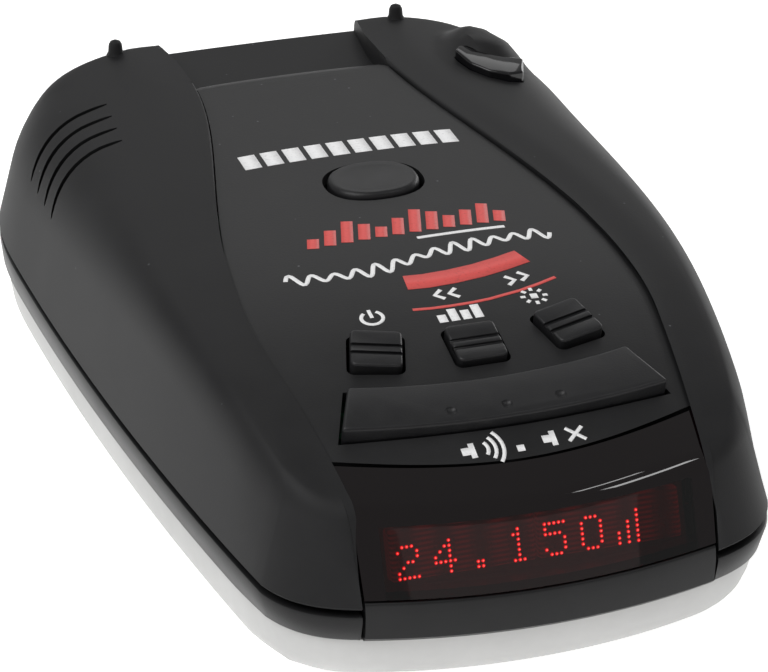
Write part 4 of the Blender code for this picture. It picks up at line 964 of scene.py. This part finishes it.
# ------------------------------------------------------------------ tray
def make_tray():
    """Grey tray with a rounded belly, socket mouths, a bed for the label and four screw seats."""
    rim = SPLIT - SHADOW - STRIP - 0.1
    levels = [(4.8, 8.8, 0.0), (4.2, 7.9, 0.06), (3.6, 7.0, 0.25), (2.8, 5.5, 0.75), (2.1, 4.1, 1.5),
              (1.65, 3.4, 2.2), (1.3, 2.8, 3.0), (1.05, 2.1, 4.6), (0.8, 1.5, rim - 0.35),
              (0.83, 1.53, rim - 0.1), (1.1, 1.8, rim), (2.8, 3.5, rim), (4.4, 5.7, 3.6),
              (8.6, 10.2, FLOOR)]
    rows = [[at(x, y, z) for x, y in ring(inset(side, front))] for side, front, z in levels]
    tray = skin("tray_shell", rows)
    tools = []
    for along, bore in SOCKETS:
        y = along * LENGTH
        x = next(a[0] for a in inset(0.9, 1.6) if a[1] >= y)
        mouth = circle(bore + SOCKET_RIM, 48)
        tool = skin("mouth", [[Vector((end, b, c)) * MM for b, c in mouth] for end in (-7, 7)])
        tool.location = at(x - 0.7, y, 4.1)
        tools.append(tool)
    label = rounded(LABEL_WIDTH + 2 * GAP, LABEL_DEPTH + 2 * GAP, 2.3)
    tools.append(prism("label_bed", label, -1.0, 0.55, Matrix.Translation(at(0, 0.55 * LENGTH, 0))))
    for share, along in SCREWS:
        for side in (-1, 1):
            spot = Matrix.Translation(at(side * share * HALF, along * LENGTH, 0))
            tools.append(prism("screw_seat", circle(2.25, 32), -1.0, FLOOR - 0.05, spot))
    carve(tray, tools)
    shade(tray, 30)
    return hand_over(tray, "case", "case_grey", TRAY_ABS, "lower_case")


# ------------------------------------------------------------------ keys, bar, button, window
def make_key(name):
    """Key cap with a raised rib between two cross grooves, worn smooth at its edges."""
    plan = rounded(KEY_WIDTH, KEY_DEPTH, 0.6, 5)
    key = prism(name + "_cap", plan, -3.6, KEY_PROUD, key_place(name))
    round_edges(key, 0.3, 4, 50)
    grooves = []
    for offset in (0.35, -0.85):
        front, back = offset - 0.27, offset + 0.27
        outline = [(-3.4, front), (3.4, front), (3.4, back), (-3.4, back)]
        grooves.append(prism("groove", outline, KEY_PROUD - 0.3, 2.0, key_place(name)))
    carve(key, grooves)
    round_edges(key, 0.07, 2, 60)
    shade(key, 40)
    return hand_over(key, name, "key_black", KEY_ABS, name)


def make_bar():
    """Rocker bar with three shallow dimples that the finger feels."""
    bar = prism("volume_rocker", bar_plan(0.0), -3.4, BAR_PROUD, key_plane())
    round_edges(bar, 0.4, 4, 50)
    cuts = []
    for x in (-5.87, 0.0, 5.87):
        y = BAR_MIDDLE + BAR_BOW * x * x - 1.4
        bead = bmesh.new()
        bmesh.ops.create_uvsphere(bead, u_segments=24, v_segments=12, radius=0.8 * MM)
        tool = piece("dimple", bead)
        tool.matrix_world = key_plane() @ Matrix.Translation(Vector((x, y, 1.1)) * MM)
        cuts.append(settle(tool))
    carve(bar, cuts)
    shade(bar, 35)
    return hand_over(bar, "volume_bar", "key_black", KEY_ABS, "volume_bar")


def make_button():
    """Oval button with a shallow dish for the fingertip."""
    top = PEAK + BUTTON_PROUD
    rows = []
    for scale, z in ((1.0, PEAK - 2.6), (1.0, top - 0.8), (0.99, top - 0.5), (0.965, top - 0.22),
                     (0.92, top - 0.05), (0.86, top), (0.72, top - 0.08), (0.5, top - 0.15),
                     (0.25, top - 0.18)):
        rows.append([at(x * scale, y * scale + BUTTON_Y, z) for x, y in oval(BUTTON_WIDTH, BUTTON_DEPTH)])
    button = shade(skin("bracket_button", rows), 50)
    return hand_over(button, "release_button", "key_black", KEY_ABS, "release_button")


def make_window():
    """Faceted window whose top slopes down to the right and to the front."""
    base = shoulder_z(MOUND_X, MOUND_Y - 3)
    window = prism("rear_window", window_plan(-0.04), base - 1.1, base + 1.7)
    for vert in window.data.vertices:
        if vert.co.z > base * MM:
            aside = vert.co.x - (MOUND_X - 2) * MM
            ahead = (MOUND_Y - 55.5) * MM - vert.co.y
            vert.co.z -= 0.10 * aside + 0.05 * ahead
    round_edges(window, 0.28, 4, 25)
    shade(window, 40)
    return hand_over(window, "case", "window_black", DARK_ACRYLIC, "sensor_window")


# ------------------------------------------------------------------ display behind the lens
DISPLAY_LEAN = math.atan(FRONT_LEAN / (PEAK - 19.6))
FONT = {
    "2": ("01110", "10001", "00001", "00110", "01000", "10000", "11111"),
    "4": ("00010", "00110", "01010", "10010", "11111", "00010", "00010"),
    ".": ("00000", "00000", "00000", "00000", "00000", "01100", "01100"),
    "1": ("00100", "01100", "00100", "00100", "00100", "00100", "01110"),
    "5": ("11111", "10000", "11110", "00001", "00001", "10001", "01110"),
    "0": ("01110", "10001", "10001", "10001", "10001", "10001", "01110"),
    "|": ("00001", "00001", "00101", "00101", "10101", "10101", "10101"),
    " ": ("00000",) * 7,
}
READING = "24.150| "


def display_place():
    """Middle of the modules, leaning as the front face does."""
    middle = at(0.0, FRONT_BOW + 3.9, SPLIT + 3.7)
    return Matrix.Translation(middle) @ Matrix.Rotation(-DISPLAY_LEAN, 4, "X")


def display_dots():
    """Places of the lit and unlit dies of eight cells, five by seven each."""
    lit_ones, dark_ones = [], []
    for cell, sign in enumerate(READING):
        for row, pattern in enumerate(FONT[sign]):
            for column, mark in enumerate(pattern):
                x = (cell - 3.5) * CELL_PITCH + (column - 2) * DOT_ACROSS
                z = (3 - row) * DOT_UP - 0.75
                spot = display_place() @ (Vector((x, -1.03, z)) * MM)
                (lit_ones if mark == "1" else dark_ones).append(spot)
    return lit_ones, dark_ones


def make_display():
    """Low studs for the dies: lit ones with a bright core, and unlit ones with a faint painted glow."""
    facing = display_place().to_3x3() @ Vector((0, -1, 0))
    lit_ones, dark_ones = display_dots()
    kinds = (
        ("lit_dies", lit_ones, 0.185, 0.06, DIE_LIT),
        ("lit_die_cores", lit_ones, 0.085, 0.10, DIE_CORE),
        # the unlit dies carry the faint painted glow
        ("dark_dies", dark_ones, 0.15, 0.04, DIE_UNLIT_PAINTED_GLOW),
    )
    for name, spots, radius, height, mat in kinds:
        tree = stud_tree(name + "_tree", mat)
        seed = seed_points(name, spots, [facing] * len(spots))
        dies = grown(name, seed, tree, {"Radius": radius, "Height": height})
        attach(shade(dies, 50), "case")


# ------------------------------------------------------------------ print on the panel
def on_panel(x, y):
    """A point of the panel; all marks are placed by millimetres across and along it."""
    return at(x, y, skin_z(x, y))


def up_from_panel(x, y):
    ahead = on_panel(x, y + 0.2) - on_panel(x, y - 0.2)
    aside = on_panel(x + 0.2, y) - on_panel(x - 0.2, y)
    return aside.cross(ahead).normalized()


def stroke(points, step=0.8):
    """Splits a path into short steps so that it follows the panel."""
    path = []
    for (xa, ya), (xb, yb) in zip(points, points[1:]):
        count = max(1, int(math.hypot(xb - xa, yb - ya) / step))
        path += [(xa + (xb - xa) * i / count, ya + (yb - ya) * i / count) for i in range(count)]
    return path + [points[-1]]


def printed(name, strokes, width, finish_material):
    """All strokes of one width as one film of ink, 0.03 mm proud of the panel."""
    points, normals, edges = [], [], []
    for line in strokes:
        path = stroke(line)
        start = len(points)
        points += [on_panel(x, y) for x, y in path]
        normals += [up_from_panel(x, y) for x, y in path]
        edges += [(start + i, start + i + 1) for i in range(len(path) - 1)]
    tree = moulding_tree(name + "_tree", finish_material)
    film = grown(name, seed_points(name, points, normals, edges), tree,
                 {"Width": width, "Thickness": 0.06})
    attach(film, "case")
    return film


def arc(x, y, radius, start, stop, count=20):
    return [(x + radius * math.cos(math.radians(start + (stop - start) * i / count)),
             y + radius * math.sin(math.radians(start + (stop - start) * i / count)))
            for i in range(count + 1)]


def print_panel_marks():
    """White blocks, red level bars, the red banner and the red rule over the key marks."""
    blocks = [[(-11.6 + 2.57 * i, 67.7), (-11.6 + 2.57 * i, 71.2)] for i in range(10)]
    printed("print_blocks", blocks, 1.95, WHITE_INK)
    heights = (2.0, 3.2, 4.6, 3.4, 2.2, 3.6, 5.0, 4.0, 2.6, 3.4, 4.4, 2.4)
    bars = [[(-10.9 + 1.93 * i, 46.9 + 0.03 * i), (-10.9 + 1.93 * i + 0.28 * h, 46.9 + 0.03 * i + h)]
            for i, h in enumerate(heights)]
    printed("print_level_bars", bars, 1.3, RED_INK)
    banner = [(-3.7, 37.0), (-1.5, 36.8), (1.5, 36.95), (4.5, 37.4), (7.4, 38.2), (10.1, 39.2)]
    printed("print_banner", [banner], 2.7, RED_INK)
    line = [(-4.5, 31.95), (-2.5, 31.7), (-0.5, 31.64), (2.0, 31.7), (4.0, 31.9), (7.6, 32.7),
            (10.0, 33.55), (12.2, 34.5)]
    printed("print_rule", [line], 0.42, RED_INK)


def print_thin_marks():
    """The wavy line, the rule over it and two pairs of arrow heads."""
    wave = []
    for i in range(150):
        t = i / 149
        x = -15.6 + 30.4 * t
        middle = 41.4 - 1.1 * math.sin(math.pi * min(1.0, t * 1.9)) + 2.3 * ease((t - 0.25) / 0.75)
        wave.append((x, middle + 1.15 * math.sin(t * 2 * math.pi * 13) * (0.75 + 0.25 * math.cos(t * 19))))
    thin = [wave, [(0.4, 45.7), (10.4, 45.9)]]
    for x, y, way in ((-1.0, 33.9, -1), (0.6, 33.85, -1), (7.3, 34.75, 1), (8.9, 35.3, 1)):
        thin.append([(x - way * 0.45, y + 0.85), (x + way * 0.45, y), (x - way * 0.45, y - 0.85)])
    printed("print_thin_marks", thin, 0.5, WHITE_INK)


def print_key_marks():
    """Power sign, towers and sun by the keys; a sounding and a crossed speaker by the bar."""
    power = [arc(-9.0, 31.75, 1.15, 125, 415), [(-9.0, 31.75), (-9.0, 33.2)]]
    rays = zip(circle(0.95, 8), circle(1.5, 8))
    sun = [[(8.75 + a, 31.45 + b), (8.75 + c, 31.45 + d)] for (a, b), (c, d) in rays]
    speaker_waves = [arc(-4.4, 10.75, r, -42, 42, 8) for r in (1.1, 1.9, 2.7)]
    cross = [[(5.2, 11.7), (7.0, 10.1)], [(5.2, 10.1), (7.0, 11.7)]]
    printed("print_symbols", power + sun + speaker_waves + cross, 0.4, WHITE_INK)
    towers = [[(x, 29.0), (x, 29.0 + h)] for x, h in ((-1.95, 1.3), (-0.65, 2.1), (0.65, 1.6), (1.95, 2.3))]
    boxes = [[(-6.1, 10.75), (-5.2, 10.75)], [(2.5, 10.75), (3.4, 10.75)]]
    printed("print_towers", towers + boxes, 0.95, WHITE_INK)
    cones = [[(-5.25, 10.75), (-4.65, 10.75)], [(3.35, 10.75), (3.95, 10.75)]]
    printed("print_cones", cones, 1.9, WHITE_INK)
    printed("print_sun", [[(8.35, 31.45), (9.15, 31.45)]], 0.85, WHITE_INK)
    printed("print_dot", [[(-0.4, 10.15), (0.4, 10.15)]], 0.8, WHITE_INK)


# ------------------------------------------------------------------ CAD nodes that show as they are
def paint(material, *nodes):
    for name in nodes:
        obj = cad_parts[name]
        obj.data.materials.clear()
        obj.data.materials.append(material)


def paint_inner_pieces():
    paint(BOARD, "main_board", "key_board", "display_board")
    paint(STRIP_ABS, "mount_channel")
    paint(MODULE_PAINTED_GLOW, "display_module_left", "display_module_right")
    paint(CHIP_EPOXY, "processor_chip", "laser_receiver")
    paint(STEEL, "power_switch", "city_switch", "dim_switch", "volume_switch_left", "volume_switch_right")
    paint(ACETAL, "mount_latch")
    paint(NICKEL, "latch_spring", "power_pin")
    paint(ZINC, "horn_antenna")
    paint(TIN, "shield_can", "speaker_frame")
    paint(CONE_PAPER, "speaker_cone")
    paint(FERRITE, "speaker_magnet")
    paint(NYLON, "display_header")
    paint(SLEEVE, "filter_capacitor")
    paint(JACK_NYLON, "power_jack", "earphone_jack")
    paint(LABEL, "rating_label")
    paint(SCREW, "case_screw_1", "case_screw_2", "case_screw_3", "case_screw_4")


# ------------------------------------------------------------------ stage
def add_floor():
    """Pale studio floor: matt white board with a barely visible tooth."""
    mat, tree, place, shader = finish("studio_floor_board", "#f4f4f3", 0.9, 1.4,
                                      Emission_Color=linear("#ffffff"), Emission_Strength=0.60)
    grain(tree, place, shader, 1.5, 0.02, 0.1)
    bm = bmesh.new()
    bmesh.ops.create_grid(bm, x_segments=2, y_segments=2, size=4.0)
    floor = piece("floor", bm)
    for vert in floor.data.vertices:
        vert.co.z = -0.0001
    floor.data.materials.append(mat)


def add_light(name, place, aim, size, power, colour=(1, 1, 1)):
    data = bpy.data.lights.new(name, "AREA")
    data.shape = "RECTANGLE"
    data.size, data.size_y = size
    data.energy = power
    data.color = colour
    light = bpy.data.objects.new(name, data)
    bpy.context.scene.collection.objects.link(light)
    light.location = place
    light.rotation_mode = "QUATERNION"
    light.rotation_quaternion = (Vector(aim) - Vector(place)).to_track_quat("-Z", "Y")


# Name, place, aim, size, power and colour of each softbox or card
LIGHTS = (
    ("key_softbox", (-0.55, -0.20, 0.95), (0, 0, 0), (0.8, 0.8), 7.0),
    ("rear_softbox", (0.10, 0.9, 0.60), (0, 0.05, 0.0), (0.9, 0.35), 1.0),
    ("right_softbox", (0.75, 0.55, 0.22), (0.02, 0, 0.02), (0.5, 0.3), 1.6),
    ("ridge_strip", (0.285, -0.235, 0.46), (0.01, -0.05, 0.02), (0.16, 0.035), 0.16),
    ("ridge_strip_high", (0.215, -0.15, 0.50), (0.01, -0.05, 0.02), (0.12, 0.012), 0.04),
    ("front_card", (0.135, -0.62, 0.165), (0, -0.05, 0.015), (0.47, 0.13), 0.05, (1.0, 0.72, 0.72)),
)


def add_world(colour, strength):
    world = bpy.data.worlds.new("studio")
    world.use_nodes = True
    shade_node = world.node_tree.nodes["Background"]
    shade_node.inputs["Color"].default_value = linear(colour)
    shade_node.inputs["Strength"].default_value = strength
    bpy.context.scene.world = world


def add_stage():
    """A large key light, softer fills, two strips for the front ridge and a card for the lens."""
    add_floor()
    add_world("#ffffff", 0.30)
    for light in LIGHTS:
        add_light(*light)


make_cover()
make_panel()
make_lens()
make_bezel()
make_side_strip()
make_tray()
for key_name in KEYS:
    make_key(key_name)
make_bar()
make_button()
make_window()
make_display()
print_panel_marks()
print_thin_marks()
print_key_marks()
paint_inner_pieces()
add_stage()
bpy.context.scene.view_settings.view_transform = "Standard"
